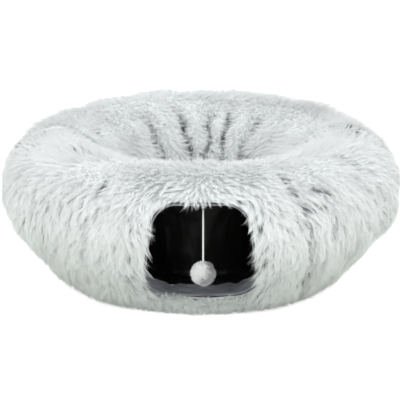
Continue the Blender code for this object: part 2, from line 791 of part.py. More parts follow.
clear_scene()
PARTS = new_collection("donut_cat_tunnel")
GUIDES = new_collection("guides")
FINISHES = {
    "plush": material("long_pile_plush", (0.78, 0.81, 0.81), 0.9),
    "base": material("base_cloth", (0.05, 0.05, 0.055), 0.85),
    "wadding": material("white_wadding", (0.85, 0.85, 0.84), 0.95),
    "lining": material("black_lining", (0.012, 0.012, 0.011), 0.55),
    "wire": material("spring_wire", (0.55, 0.56, 0.58), 0.3, 1.0),
}
FACING = material("grey_facing", (0.14, 0.15, 0.17), 0.7)
TAPE = material("zip_tape", (0.06, 0.06, 0.065), 0.8)
COIL = material("zip_coil", (0.04, 0.04, 0.045), 0.4)
METAL = material("zip_metal", (0.12, 0.12, 0.13), 0.35, 1.0)
RIBBON = material("grey_ribbon", (0.2, 0.2, 0.22), 0.7)
CORD = material("white_cord", (0.8, 0.8, 0.78), 0.7)
POMPOM = material("white_pompom", (0.75, 0.77, 0.75), 0.95)
MAT = material("mat_plush", (0.7, 0.73, 0.73), 0.95)

front_layers = build_half("front", -1, FINISHES, FRONT_HOOP_ANGLES)
build_half("rear", 1, FINISHES, REAR_HOOP_ANGLES)
build_entrance(front_layers, FACING, FINISHES["wire"])
build_zip(TAPE, COIL, METAL)
build_pull(build_slider(METAL), METAL)
build_toy(RIBBON, CORD, POMPOM)
build_mat(MAT)
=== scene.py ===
import json
import math

import bmesh
import bpy
import numpy as np
from mathutils import Matrix, Vector

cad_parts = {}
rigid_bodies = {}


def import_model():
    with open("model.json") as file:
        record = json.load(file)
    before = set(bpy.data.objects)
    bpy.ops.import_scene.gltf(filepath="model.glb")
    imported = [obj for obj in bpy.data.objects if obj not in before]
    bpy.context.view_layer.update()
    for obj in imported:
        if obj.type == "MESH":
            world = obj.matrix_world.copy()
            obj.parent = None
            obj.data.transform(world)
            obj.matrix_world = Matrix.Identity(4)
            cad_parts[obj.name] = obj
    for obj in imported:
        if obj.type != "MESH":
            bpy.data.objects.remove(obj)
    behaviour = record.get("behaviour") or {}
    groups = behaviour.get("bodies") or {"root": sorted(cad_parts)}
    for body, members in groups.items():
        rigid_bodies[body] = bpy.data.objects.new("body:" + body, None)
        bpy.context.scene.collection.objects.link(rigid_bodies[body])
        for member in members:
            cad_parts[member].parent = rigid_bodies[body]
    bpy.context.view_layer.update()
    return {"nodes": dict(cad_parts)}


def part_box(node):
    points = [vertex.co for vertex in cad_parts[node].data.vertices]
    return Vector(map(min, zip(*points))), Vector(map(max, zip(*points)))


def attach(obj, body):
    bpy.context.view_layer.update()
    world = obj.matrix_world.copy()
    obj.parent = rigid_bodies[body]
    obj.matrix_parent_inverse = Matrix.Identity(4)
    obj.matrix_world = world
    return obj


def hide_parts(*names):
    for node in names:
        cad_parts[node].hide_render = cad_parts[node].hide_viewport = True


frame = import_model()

# Camera, light and floor
# The tunnel stands on a white studio floor. The camera looks at its entrance from about three
# metres away and a little above, as in the photograph.
CAMERA_DISTANCE = 3.0
CAMERA_ELEVATION = math.radians(16.8)
CAMERA_AIM = Vector((0.0, 0.0, 0.14))
SENSOR_WIDTH = 36.0
FOCAL_LENGTH = 148.3
LENS_SHIFT_X = -0.00175
LENS_SHIFT_Y = -0.016
WHITE = (1.0, 1.0, 1.0, 1.0)
ROOM_TINT = (0.94, 0.97, 0.99, 1.0)
ROOM_LIGHT = 0.86
FLOOR_TINT = (0.76, 0.79, 0.73, 1.0)
FLOOR_GLOW = 0.62
FLOOR_SIZE = 12.0
FLOOR_DROP = 0.0005

lens = bpy.data.cameras.new("studio_camera")
lens.sensor_width = SENSOR_WIDTH
lens.lens = FOCAL_LENGTH
lens.shift_x = LENS_SHIFT_X
lens.shift_y = LENS_SHIFT_Y
lens.clip_end = 50.0
camera = bpy.data.objects.new("studio_camera", lens)
camera.location = CAMERA_AIM + CAMERA_DISTANCE * Vector(
    (0.0, -math.cos(CAMERA_ELEVATION), math.sin(CAMERA_ELEVATION))
)
camera.rotation_euler = (math.radians(90) - CAMERA_ELEVATION, 0.0, 0.0)
bpy.context.scene.collection.objects.link(camera)
bpy.context.scene.camera = camera
bpy.context.scene.view_settings.view_transform = "Standard"


def softbox(name, place, aim, size, power):
    lamp = bpy.data.lights.new(name, "AREA")
    lamp.shape = "RECTANGLE"
    lamp.size, lamp.size_y = size
    lamp.energy = power
    made = bpy.data.objects.new(name, lamp)
    made.location = place
    made.rotation_euler = (Vector(aim) - Vector(place)).to_track_quat("-Z", "Y").to_euler()
    bpy.context.scene.collection.objects.link(made)


def add(tree, kind, inputs=(), **settings):
    """A new node with its settings. Each input gets a value, or a link from another node's output."""
    made = tree.nodes.new(kind)
    for name, value in settings.items():
        setattr(made, name, value)
    for slot, value in dict(inputs).items():
        if isinstance(value, bpy.types.NodeSocket):
            tree.links.new(value, made.inputs[slot])
        else:
            made.inputs[slot].default_value = value
    return made


def maths(tree, operation, *values):
    return add(tree, "ShaderNodeMath", dict(enumerate(values)), operation=operation).outputs[0]


softbox("overhead_softbox", (0.0, -1.5, 2.2), (0.0, 0.0, 0.1), (2.2, 1.8), 17.0)
for label, x, y, z, power in (("front", 1.6, -2.0, 1.7, 19.0), ("side", 2.3, 0.2, 1.5, 9.0)):
    for hand, side in (("left", -1), ("right", 1)):
        softbox(f"{hand}_{label}_softbox", (side * x, y, z), (0.0, 0.0, 0.12), (1.2, 0.9), power)

world = bpy.data.worlds.new("studio_world")
world.use_nodes = True
bpy.context.scene.world = world
sky = world.node_tree
sky.nodes.clear()
room_light = add(sky, "ShaderNodeBackground", {"Color": ROOM_TINT, "Strength": ROOM_LIGHT})
seen_white = add(sky, "ShaderNodeBackground", {"Color": WHITE, "Strength": 1.0})
# the camera sees plain white behind the tunnel, also in mirrors and through glass
rays = add(sky, "ShaderNodeLightPath").outputs
seen = maths(sky, "MAXIMUM", rays["Is Camera Ray"], rays["Is Glossy Ray"])
seen = maths(sky, "MAXIMUM", seen, rays["Is Transmission Ray"])
pick = add(sky, "ShaderNodeMixShader", {0: seen, 1: room_light.outputs[0], 2: seen_white.outputs[0]})
add(sky, "ShaderNodeOutputWorld", {"Surface": pick.outputs[0]})

bpy.ops.mesh.primitive_plane_add(size=FLOOR_SIZE, location=(0.0, 0.0, -FLOOR_DROP))
floor = bpy.context.object
floor.name = "studio_floor"
floor_paint = bpy.data.materials.new("studio_floor_white")
floor_paint.use_nodes = True
paint = floor_paint.node_tree
paint.nodes.clear()
matt = add(paint, "ShaderNodeBsdfDiffuse", {"Color": FLOOR_TINT})
rays = add(paint, "ShaderNodeLightPath").outputs
glow_level = maths(paint, "MULTIPLY", rays["Is Camera Ray"], FLOOR_GLOW)
glow = add(paint, "ShaderNodeEmission", {"Color": WHITE, "Strength": glow_level})
both = add(paint, "ShaderNodeAddShader", {0: matt.outputs[0], 1: glow.outputs[0]})
add(paint, "ShaderNodeOutputMaterial", {"Surface": both.outputs[0]})
floor.data.materials.append(floor_paint)

# Toy cord
# A white braided cord of 92 mm hangs from its knot under the entrance's top edge and ends inside
# the pompom. It is one limp cord, sewn into a ribbon tab and knotted there.
CORD_DIAMETER = 0.0032
CORD_LENGTH = 0.092
CORD_STEPS = 40
CORD_SIDES = 12

knot_low, knot_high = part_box("toy_knot")
knot_middle = (knot_low + knot_high) / 2
cord_top = Vector((knot_middle.x, knot_middle.y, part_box("toy_cord")[1].z))


def finish(name, base, roughness, metallic=0.0, specular=0.5):
    """A new material with its Principled shader and its node tree."""
    made = bpy.data.materials.new(name)
    made.use_nodes = True
    shader = made.node_tree.nodes["Principled BSDF"]
    shader.inputs["Base Color"].default_value = (*base, 1.0)
    shader.inputs["Roughness"].default_value = roughness
    shader.inputs["Metallic"].default_value = metallic
    shader.inputs["Specular IOR Level"].default_value = specular
    return made, shader, made.node_tree


def ramp(tree, place, stops):
    """The colour at a place along a row of stops."""
    made = add(tree, "ShaderNodeValToRGB", {"Fac": place})
    while len(made.color_ramp.elements) < len(stops):
        made.color_ramp.elements.new(0.5)
    for element, (stop, colour) in zip(made.color_ramp.elements, stops):
        element.position = stop
        element.color = (*colour, 1.0)
    return made.outputs["Color"]


def toned(tree, shader, place, stops, slot="Base Color"):
    """Runs one of the shader's inputs through a row of stops."""
    colour = ramp(tree, place, stops)
    tree.links.new(colour, shader.inputs[slot])
    return colour


def bump(tree, shader, height, strength, distance):
    made = add(tree, "ShaderNodeBump", {"Strength": strength, "Distance": distance, "Height": height})
    tree.links.new(made.outputs["Normal"], shader.inputs["Normal"])


def own_place(tree):
    return add(tree, "ShaderNodeTexCoord").outputs["Object"]


def cloth_place(tree):
    return add(tree, "ShaderNodeUVMap", uv_map="cloth_map").outputs["UV"]


def grain(tree, place, scale, detail=2.0, distortion=0.0):
    inputs = {"Vector": place, "Scale": scale, "Detail": detail, "Distortion": distortion}
    return add(tree, "ShaderNodeTexNoise", inputs).outputs["Fac"]


def stripes(tree, place, scale, direction, distortion=0.0):
    inputs = {"Vector": place, "Scale": scale, "Distortion": distortion}
    return add(tree, "ShaderNodeTexWave", inputs, bands_direction=direction).outputs["Fac"]


def mixed(tree, share, first, second, blend="MIX"):
    inputs = {"Factor": share, "A": first, "B": second}
    return add(tree, "ShaderNodeMix", inputs, data_type="RGBA", blend_type=blend).outputs["Result"]


def lit_through(tree, shader, colour, share):
    """Lets a share of the light pass through, as it does between fine fibres."""
    through = add(tree, "ShaderNodeBsdfTranslucent", {"Color": colour})
    inputs = {"Fac": share, 1: shader.outputs["BSDF"], 2: through.outputs["BSDF"]}
    both = add(tree, "ShaderNodeMixShader", inputs)
    tree.links.new(both.outputs["Shader"], tree.nodes["Material Output"].inputs["Surface"])


def new_piece(name, points, faces, material=None, smooth=True, uv=None):
    """A mesh object at the origin from lists of points and faces."""
    mesh = bpy.data.meshes.new(name)
    mesh.from_pydata([tuple(p) for p in points], [], [tuple(f) for f in faces])
    if uv is not None:
        layer = mesh.uv_layers.new(name="cloth_map")
        layer.data.foreach_set("uv", np.asarray(uv, np.float32).ravel())
    mesh.update()
    if smooth:
        mesh.shade_smooth()
    if material:
        mesh.materials.append(material)
    made = bpy.data.objects.new(name, mesh)
    bpy.context.scene.collection.objects.link(made)
    return made


def outward(piece):
    """Turns the faces of a closed piece outwards."""
    shape = bmesh.new()
    shape.from_mesh(piece.data)
    bmesh.ops.recalc_face_normals(shape, faces=shape.faces)
    shape.to_mesh(piece.data)
    shape.free()
    return piece


cord_finish, shader, tree = finish("white_braid", (0.86, 0.86, 0.83), 0.75, specular=0.2)
strands = stripes(tree, cloth_place(tree), 2.4, "DIAGONAL", 0.6)
toned(tree, shader, strands, [
    (0.0, (0.52, 0.53, 0.52)), (0.45, (0.80, 0.80, 0.78)), (1.0, (0.90, 0.90, 0.88)),
])
bump(tree, shader, strands, 0.6, 0.0004)

cord_path = [cord_top - Vector((0.0, 0.0, CORD_LENGTH * k / CORD_STEPS)) for k in range(CORD_STEPS + 1)]
points, faces, places = [], [], []
for k, centre in enumerate(cord_path):
    for j in range(CORD_SIDES):
        turn = 2 * math.pi * j / CORD_SIDES
        # the braid's four plaits swell the cord a little where they cross
        plait = 1.0 - 0.10 * abs(math.sin(1.5 * turn + math.pi * k / 2.5)) * (0 < k < CORD_STEPS)
        radius = CORD_DIAMETER / 2 * plait
        points.append(centre + radius * Vector((math.cos(turn), math.sin(turn), 0.0)))
for k in range(CORD_STEPS):
    for j in range(CORD_SIDES):
        a, b = k * CORD_SIDES + j, k * CORD_SIDES + (j + 1) % CORD_SIDES
        faces.append((a, a + CORD_SIDES, b + CORD_SIDES, b))
        u, v = j / CORD_SIDES, k / 5
        places += [(u, v), (u, v + 0.2), (u + 1 / CORD_SIDES, v + 0.2), (u + 1 / CORD_SIDES, v)]
for k, turn_round in ((0, False), (CORD_STEPS, True)):
    cap = [k * CORD_SIDES + j for j in range(CORD_SIDES)]
    faces.append(tuple(reversed(cap)) if turn_round else tuple(cap))
    places += [(0.5, 0.5)] * CORD_SIDES
toy_cord = new_piece("toy_cord_braid", points, faces, cord_finish, uv=places)
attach(toy_cord, "toy")
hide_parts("toy_cord")

# The roll's outline
# The tunnel's wall follows one outline all the way round: outer foot, flank, round roll, shoulder,
# funnel and inner foot. Each layer lies at its own depth under it, as on the cutting pattern.
HUB = np.array((0.254, 0.165))
ROLL_RADIUS = 0.098
FLANK_ANGLE = math.radians(38)
SHOULDER_ANGLE = math.radians(118)
PANEL_SEAM_ANGLE = math.radians(100)
FOOT_TUCK = 0.0115
WELL_FLOOR_RADIUS = 0.100
FLANK_STEPS = 40
ROLL_STEPS = 80
FUNNEL_STEPS = 80
SLOPE_REACH = 0.004
POINTS_AT_ONCE = 4000
HALF_AXIS = 0.007
HALVES = (("front", -1), ("rear", 1))


def roll_point(angle):
    return HUB + ROLL_RADIUS * np.array((math.cos(angle), math.sin(angle)))


def bezier(start, pull, end, share):
    return (1 - share) ** 2 * start + 2 * share * (1 - share) * pull + share**2 * end


flank_top = roll_point(-FLANK_ANGLE)
knee = np.array((flank_top[0] - flank_top[1] * math.tan(FLANK_ANGLE), 0.0))
outer_foot = np.array((knee[0] - FOOT_TUCK, 0.0))
shoulder = roll_point(SHOULDER_ANGLE)
fall = (shoulder[0] - WELL_FLOOR_RADIUS) * math.tan(SHOULDER_ANGLE - math.pi / 2)
brow = np.array((WELL_FLOOR_RADIUS, shoulder[1] - fall))
inner_foot = np.array((WELL_FLOOR_RADIUS, 0.0))
roll_sweep = SHOULDER_ANGLE + FLANK_ANGLE
wall_line = np.array(
    [bezier(outer_foot, knee, flank_top, k / FLANK_STEPS) for k in range(FLANK_STEPS)]
    + [roll_point(-FLANK_ANGLE + roll_sweep * k / ROLL_STEPS) for k in range(ROLL_STEPS)]
    + [bezier(shoulder, brow, inner_foot, k / FUNNEL_STEPS) for k in range(FUNNEL_STEPS + 1)]
)
wall_run = np.concatenate(([0.0], np.cumsum(np.linalg.norm(np.diff(wall_line, axis=0), axis=1))))
WALL_LENGTH = float(wall_run[-1])
SEAM_RUN = float(wall_run[FLANK_STEPS] + ROLL_RADIUS * (PANEL_SEAM_ANGLE + FLANK_ANGLE))


def on_wall(run):
    """The outline's point and outward normal at a distance run along it from the outer foot."""
    run = np.asarray(run, float)
    radius = np.interp(run, wall_run, wall_line[:, 0])
    height = np.interp(run, wall_run, wall_line[:, 1])
    ahead = np.clip(run + SLOPE_REACH, 0, WALL_LENGTH)
    behind = np.clip(run - SLOPE_REACH, 0, WALL_LENGTH)
    along_r = np.interp(ahead, wall_run, wall_line[:, 0]) - np.interp(behind, wall_run, wall_line[:, 0])
    along_z = np.interp(ahead, wall_run, wall_line[:, 1]) - np.interp(behind, wall_run, wall_line[:, 1])
    size = np.hypot(along_r, along_z)
    return radius, height, along_z / size, -along_r / size


def run_of(points, side):
    """For points near the wall: the azimuth in their own half, and the run of the nearest station."""
    across_y = points[:, 1] - side * HALF_AXIS
    azimuth = np.arctan2(across_y, points[:, 0])
    radius = np.hypot(points[:, 0], across_y)
    nearest = np.empty(len(points), int)
    for first in range(0, len(points), POINTS_AT_ONCE):
        block = slice(first, first + POINTS_AT_ONCE)
        gap = (radius[block, None] - wall_line[None, :, 0]) ** 2
        gap += (points[block, 2, None] - wall_line[None, :, 1]) ** 2
        nearest[block] = gap.argmin(1)
    return azimuth, wall_run[nearest]


def in_space(azimuth, radius, height, side):
    """Ring coordinates of one half to points in space."""
    return np.stack(
        (radius * np.cos(azimuth), side * (HALF_AXIS + radius * np.sin(azimuth)), height + 0 * radius), -1
    )


# Spring-wire hoops
# Closed hoops of hardened spring wire hold the roll open: two at the ends of each half, two or
# three between, and one round the entrance. They lie in channels between wadding and lining.
spring_steel, shader, tree = finish("spring_steel", (0.50, 0.51, 0.53), 0.32, metallic=1.0)
drawn_marks = grain(tree, own_place(tree), 900.0, 3.0)
toned(tree, shader, drawn_marks, [(0.3, (0.22, 0.22, 0.22)), (0.7, (0.45, 0.45, 0.45))], "Roughness")
toned(tree, shader, drawn_marks, [(0.3, (0.42, 0.43, 0.45)), (0.7, (0.58, 0.59, 0.61))])
for node_name, node in frame["nodes"].items():
    if node_name.endswith("_hoop") or "_middle_hoop_" in node_name:
        node.data.materials.clear()
        node.data.materials.append(spring_steel)

# Lining
# A black crackling polyester tube lines the tunnel. It is cut flat, rolled into a tube, sewn along
# the floor and gathered over the hoops, so it lies in soft crinkles.
ENTRANCE_BOTTOM_WIDTH = 0.204
ENTRANCE_TOP_WIDTH = 0.158
ENTRANCE_BOTTOM_HEIGHT = 0.046
ENTRANCE_TOP_HEIGHT = 0.224
ENTRANCE_TOP_CORNER = 0.046
ENTRANCE_BOTTOM_CORNER = 0.040
ENTRANCE_NEAR_Y = -0.379
ENTRANCE_FAR_Y = -0.234
ENTRANCE_MIDDLE_HEIGHT = (ENTRANCE_BOTTOM_HEIGHT + ENTRANCE_TOP_HEIGHT) / 2
ENTRANCE_AREA_SHARE = 0.85
ENTRANCE_EASE = 0.0004
LINING_DEPTH = 0.0283
LINING_THICKNESS = 0.0009
LINING_STEPS = 84
LINING_WALL_STEPS = 64
LINING_FLOOR_STEPS = 12
LAYER_END = 0.0022
CRINKLE = 0.0030


def soft_waves(points, size, seed, count=7):
    """A smooth field from -1 to 1 that swells and sinks over about the given size."""
    rng = np.random.default_rng(seed)
    heading = rng.normal(size=(count, 3))
    heading /= np.linalg.norm(heading, axis=1)[:, None]
    pace = 2 * math.pi / size * rng.uniform(0.6, 1.5, count)
    start = rng.uniform(0, 2 * math.pi, count)
    return np.sin(np.asarray(points) @ (heading * pace[:, None]).T + start).sum(1) / math.sqrt(count) / 1.3


def closed_outline(wall_steps, floor_steps):
    """Stations of the whole outline, floor too, each with its step of one metre inwards."""
    runs = np.linspace(0, WALL_LENGTH, wall_steps + 1)
    radius, height, _, _ = on_wall(runs)
    floor_r = np.linspace(WELL_FLOOR_RADIUS, outer_foot[0], floor_steps + 1)[1:-1]
    line = np.stack((np.r_[radius, floor_r], np.r_[height, 0 * floor_r]), 1)
    aim = HUB - line
    aim /= np.linalg.norm(aim, axis=1)[:, None]
    share = np.ones(len(line))
    for other in (np.roll(line, 1, 0) - line, line - np.roll(line, -1, 0)):
        along = -other
        square = np.stack((-along[:, 1], along[:, 0]), 1)
        square /= np.linalg.norm(square, axis=1)[:, None]
        share = np.minimum(share, (aim * square).sum(1))
    return line, aim / share[:, None]


def half_azimuths(steps):
    """Azimuths of the stations round one half, the first and last one twice for its straight ends."""
    return np.r_[0.0, np.linspace(0.0, math.pi, steps + 1), math.pi]


def half_grid(side, line, steps, end_line=LAYER_END):
    """A grid of points: one row for each azimuth of a half ring, one column for each station."""
    azimuth = half_azimuths(steps)
    grid = np.empty((len(azimuth), len(line), 3))
    grid[:, :, 0] = np.cos(azimuth)[:, None] * line[None, :, 0]
    grid[:, :, 1] = side * (HALF_AXIS + np.sin(azimuth)[:, None] * line[None, :, 0])
    grid[:, :, 2] = line[None, :, 1]
    grid[0, :, 1] = grid[-1, :, 1] = side * end_line
    return grid


def grid_faces(rows, columns, closed, flip):
    """The quads of a grid, as a list, wound the other way when flip is true."""
    faces = []
    for row in range(rows - 1):
        for column in range(columns if closed else columns - 1):
            after = (column + 1) % columns
            a, b = row * columns + column, row * columns + after
            face = (a, b, b + columns, a + columns)
            faces.append(face[::-1] if flip else face)
    return faces


def entrance_outline(grow, corner_steps=8, side_steps=8):
    """The entrance's rounded trapezoid in the X-Z plane, grown outwards by a length."""
    low, high = ENTRANCE_BOTTOM_HEIGHT - grow, ENTRANCE_TOP_HEIGHT + grow
    wide, narrow = ENTRANCE_BOTTOM_WIDTH / 2 + grow, ENTRANCE_TOP_WIDTH / 2 + grow
    corners = [Vector((wide, low)), Vector((narrow, high)), Vector((-narrow, high)), Vector((-wide, low))]
    radii = [ENTRANCE_BOTTOM_CORNER, ENTRANCE_TOP_CORNER, ENTRANCE_TOP_CORNER, ENTRANCE_BOTTOM_CORNER]
    rounded = []
    for index, corner in enumerate(corners):
        before = (corners[index - 1] - corner).normalized()
        after = (corners[(index + 1) % 4] - corner).normalized()
        half = before.angle(after) / 2
        radius = radii[index] + grow
        centre = corner + (before + after).normalized() * radius / math.sin(half)
        start = corner + before * radius / math.tan(half) - centre
        turn = start.angle_signed(corner + after * radius / math.tan(half) - centre)
        for k in range(corner_steps + 1):
            rounded.append(centre + Matrix.Rotation(-turn * k / corner_steps, 2) @ start)
    spaced = []
    for index, point in enumerate(rounded):
        after = rounded[(index + 1) % len(rounded)]
        steps = side_steps if (after - point).length > 0.035 else 1
        spaced.extend(point.lerp(after, k / steps) for k in range(steps))
    return spaced


def entrance_punch(grow):
    """The tool that cuts the entrance through the layers of the front half."""
    outline = entrance_outline(grow)
    count = len(outline)
    points = [(p.x, y, p.y) for y in (ENTRANCE_NEAR_Y, ENTRANCE_FAR_Y) for p in outline]
    faces = [(k, (k + 1) % count, count + (k + 1) % count, count + k) for k in range(count)]
    faces += [tuple(range(count))[::-1], tuple(range(count, 2 * count))]
    return outward(new_piece("entrance_punch", points, faces, smooth=False))


def baked(piece):
    """Applies a piece's modifiers and leaves a plain mesh."""
    bpy.context.view_layer.update()
    evaluated = piece.evaluated_get(bpy.context.evaluated_depsgraph_get())
    mesh = bpy.data.meshes.new_from_object(evaluated)
    piece.modifiers.clear()
    piece.data = mesh
    return piece


def thickened(piece, thickness, offset=-1.0):
    solid = piece.modifiers.new("cloth_thickness", "SOLIDIFY")
    solid.thickness = thickness
    solid.offset = offset
    return baked(piece)


def punched(piece, grow):
    """Cuts the entrance out of a closed layer."""
    tool = entrance_punch(grow)
    cut = piece.modifiers.new("entrance", "BOOLEAN")
    cut.operation = "DIFFERENCE"
    cut.solver = "EXACT"
    cut.object = tool
    baked(piece)
    bpy.data.objects.remove(tool, do_unlink=True)
    return piece


black_crackle, shader, tree = finish("black_crackle_polyester", (0.013, 0.013, 0.012), 0.40, specular=0.5)
upright = add(tree, "ShaderNodeMapping", {"Vector": own_place(tree), "Scale": (30.0, 30.0, 7.0)})
fold_bump_and_painted_sheen = grain(tree, upright.outputs["Vector"], 1.0, 3.0, 0.6)
small_creases = grain(tree, own_place(tree), 90.0, 5.0)
# painted sheen: the black cloth is lighter along soft upright streaks, as where light glances off its folds;
# the same field also drives the bump
toned(tree, shader, fold_bump_and_painted_sheen, [
    (0.42, (0.006, 0.006, 0.0055)), (0.56, (0.016, 0.016, 0.015)), (0.70, (0.055, 0.055, 0.053)),
])
bump(tree, shader, maths(tree, "MULTIPLY_ADD", small_creases, 0.25, fold_bump_and_painted_sheen), 0.7, 0.006)

for half, side in HALVES:
    line, reach = closed_outline(LINING_WALL_STEPS, LINING_FLOOR_STEPS)
    flat_line = line + reach * LINING_DEPTH
    grid = half_grid(side, flat_line, LINING_STEPS)
    inward = np.zeros_like(grid)
    azimuth = half_azimuths(LINING_STEPS)
    step = reach / np.linalg.norm(reach, axis=1)[:, None]
    inward[:, :, 0] = np.cos(azimuth)[:, None] * step[None, :, 0]
    inward[:, :, 1] = side * np.sin(azimuth)[:, None] * step[None, :, 0]
    inward[:, :, 2] = step[None, :, 1]
    # the gathers hang from the crown, so the folds are longer upwards than round the ring
    upright_points = grid.reshape(-1, 3) * (1.0, 1.0, 0.3)
    crease = 1.0 - np.abs(soft_waves(upright_points, 0.075, 11))
    crease = crease - 0.45 * np.abs(soft_waves(upright_points, 0.032, 12))
    lift = (CRINKLE * np.clip(crease + 0.35, 0.0, 1.35)).reshape(grid.shape[:2])
    lift[[0, 1, -2, -1]] = 0.0
    grid += inward * lift[:, :, None]
    # the tube is wound so that its faces point into the tunnel before the cloth gets its thickness
    faces = grid_faces(grid.shape[0], grid.shape[1], True, side > 0)
    lining = new_piece(f"{half}_lining_cloth", grid.reshape(-1, 3), faces, black_crackle)
    thickened(lining, LINING_THICKNESS, 1.0)
    if side < 0:
        punched(lining, ENTRANCE_EASE)
    lining.data.shade_smooth()
    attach(lining, f"{half}_half")
    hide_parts(f"{half}_lining")
    section = np.linalg.norm(flat_line - np.roll(flat_line, -1, 0), axis=1)
    opening = ENTRANCE_BOTTOM_WIDTH * (ENTRANCE_TOP_HEIGHT - ENTRANCE_BOTTOM_HEIGHT)
    opening = opening * ENTRANCE_AREA_SHARE * (side < 0)

# Wadding
# Five millimetres of white polyester wadding lie between the plush cover and the hoops, all the way
# round the tube. It is quilted to nothing and held by the sewn edges only.
WADDING_DEPTH = 0.0180
WADDING_THICKNESS = 0.0050
WADDING_STEPS = 72
WADDING_WALL_STEPS = 60
WADDING_FLOOR_STEPS = 10

white_wadding, shader, tree = finish("white_polyester_wadding", (0.84, 0.84, 0.82), 0.95, specular=0.1)
fibres = grain(tree, own_place(tree), 260.0, 6.0, 2.5)
toned(tree, shader, fibres, [(0.3, (0.66, 0.66, 0.64)), (0.6, (0.88, 0.88, 0.86))])
bump(tree, shader, fibres, 0.8, 0.0015)

for half, side in HALVES:
    line, reach = closed_outline(WADDING_WALL_STEPS, WADDING_FLOOR_STEPS)
    grid = half_grid(side, line + reach * WADDING_DEPTH, WADDING_STEPS)
    faces = grid_faces(grid.shape[0], grid.shape[1], True, side < 0)
    wadding = new_piece(f"{half}_wadding_layer", grid.reshape(-1, 3), faces, white_wadding)
    thickened(wadding, WADDING_THICKNESS, -1.0)
    if side < 0:
        punched(wadding, ENTRANCE_EASE)
    wadding.data.shade_smooth()
    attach(wadding, f"{half}_half")
    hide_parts(f"{half}_wadding")

# Plush covers
# Each half has two covers of long-pile plush: a smooth one outside and a gathered one in the well,
# sewn together over the top. Here is their knitted backing, with its lumps, folds and pleats.
BACKING_DEPTH = 0.0050
BACKING_THICKNESS = 0.0022
BACKING_FLOOR_CLEARANCE = 0.004
LUMP_HEIGHT = 0.0030
CREASE_DEPTH = 0.0055
CREASE_WIDTH = 0.009
GATHER_DEPTH = 0.0085
GATHER_RUN_IN = 0.09
GATHER_WIDTH = 0.045
SHALLOWEST_BACKING = 0.0012
DEEPEST_BACKING = 0.0135
COVER_TURNS = 160
COVER_UPS = 40
MEAN_RADIUS = 0.30
FAR_OFF = 9.0
WELL_DEEP = (0.395, 0.45)
PAST_EDGE = (0.012, 0.045)

# Valleys between the gathers of the well covers: the azimuth in degrees at the seam and at the
# floor, and how tightly each one is drawn in.
GATHERS = {
    "front": (
        (12, 13, 0.1), (34, 36, 0.25), (57, 58, 0.5), (80, 79, 0.6),
        (101, 102, 0.6), (123, 122, 0.5), (146, 144, 0.25), (168, 167, 0.1),
    ),
    "rear": (
        (12, 14, 0.1), (34, 37, 0.12), (54, 57, 0.75), (74.5, 73, 1.0), (83, 87, 0.7),
        (106, 94, 1.0), (125, 120, 0.9), (147, 142, 0.16), (168, 166, 0.1),
    ),
}

# Folds in the outer cover of the front half, each from point to point: the azimuth in degrees from
# the right-hand zip, and the run up from the outer foot in metres.
CREASES = (
    ((63, 0.32), (62, 0.29), (61, 0.25), (59, 0.21), (59, 0.18), (56, 0.13), (52, 0.06)),
    ((61, 0.25), (57, 0.247), (52, 0.25)),
    ((54, 0.28), (50, 0.265)),
    ((52, 0.20), (50, 0.22)),
    ((33, 0.345), (31, 0.30), (32, 0.28)),
    ((16, 0.235), (15, 0.25)),
    ((11, 0.305), (10, 0.333)),
    ((121, 0.295), (121, 0.27)),
    ((122, 0.23), (122, 0.20), (123, 0.16)),
    ((146, 0.38), (143, 0.36)),
    ((166, 0.29), (172, 0.33)),
)


def along_crease(azimuth, run, crease, width):
    """One on a crease, falling away to zero over its width."""
    steps = [(math.radians(turn), up) for turn, up in crease]
    nearest = np.full(np.shape(run), FAR_OFF)
    for (turn_a, up_a), (turn_b, up_b) in zip(steps, steps[1:]):
        leg = np.array(((turn_b - turn_a) * MEAN_RADIUS, up_b - up_a))
        off_turn, off_up = (azimuth - turn_a) * MEAN_RADIUS, run - up_a
        share = np.clip((off_turn * leg[0] + off_up * leg[1]) / (leg @ leg), 0, 1)
        nearest = np.minimum(nearest, np.hypot(off_turn - share * leg[0], off_up - share * leg[1]))
    return np.exp(-((nearest / width) ** 2))


def plush_folds(azimuth, run, side):
    """Creases and gathers, each from zero to one, with the gathers' partings and the way to them."""
    crease = np.zeros(np.broadcast(azimuth, run).shape)
    if side < 0:
        for fold in CREASES:
            crease = np.maximum(crease, along_crease(azimuth, run, fold, CREASE_WIDTH))
    radius = on_wall(run)[0]
    down = np.clip(1.6 * (run - SEAM_RUN) / (WALL_LENGTH - SEAM_RUN), 0, 1)
    gather, parting, toward = 0 * crease, 0 * crease, 0 * crease
    for top, foot, drawn in GATHERS["front" if side < 0 else "rear"]:
        off = (azimuth - np.radians(top + (foot - top) * down)) / GATHER_WIDTH
        off = off + 0.5 * np.sin(run / 0.011 + top) * np.minimum(1.0, down + 0.3)
        gather = np.maximum(gather, drawn * (0.4 * np.exp(-((off / 2.6) ** 2)) + 0.6 * np.exp(-(off**2))))
        broken = 0.72 + 0.34 * np.sin(run / 0.0034 + 2.1 * top) * np.sin(run / 0.0081 + top)
        parting = np.maximum(parting, drawn * broken * np.exp(-((off / 0.85) ** 2)))
        toward = toward - drawn * off * np.exp(-((off / 2.2) ** 2))
    ease = np.clip((run - SEAM_RUN + 0.02) / GATHER_RUN_IN, 0, 1)
    ease = ease * ease * (3 - 2 * ease)
    return crease, gather * ease, parting * ease, toward * ease * (radius > 0)


def backing_depth(points, azimuth, run, side):
    crease, gather, _, _ = plush_folds(azimuth, run, side)
    lumps = soft_waves(points, 0.17, 21) + soft_waves(points, 0.07, 22)
    lumps = lumps.reshape(np.shape(run)) * np.clip(run / 0.05, 0.2, 1.0)
    at_ends = np.clip(np.sin(azimuth) / 0.12, 0, 1)
    depth = BACKING_DEPTH - LUMP_HEIGHT * lumps * at_ends
    depth = depth + CREASE_DEPTH * crease + GATHER_DEPTH * gather * at_ends
    return np.minimum(np.maximum(depth, SHALLOWEST_BACKING), DEEPEST_BACKING)


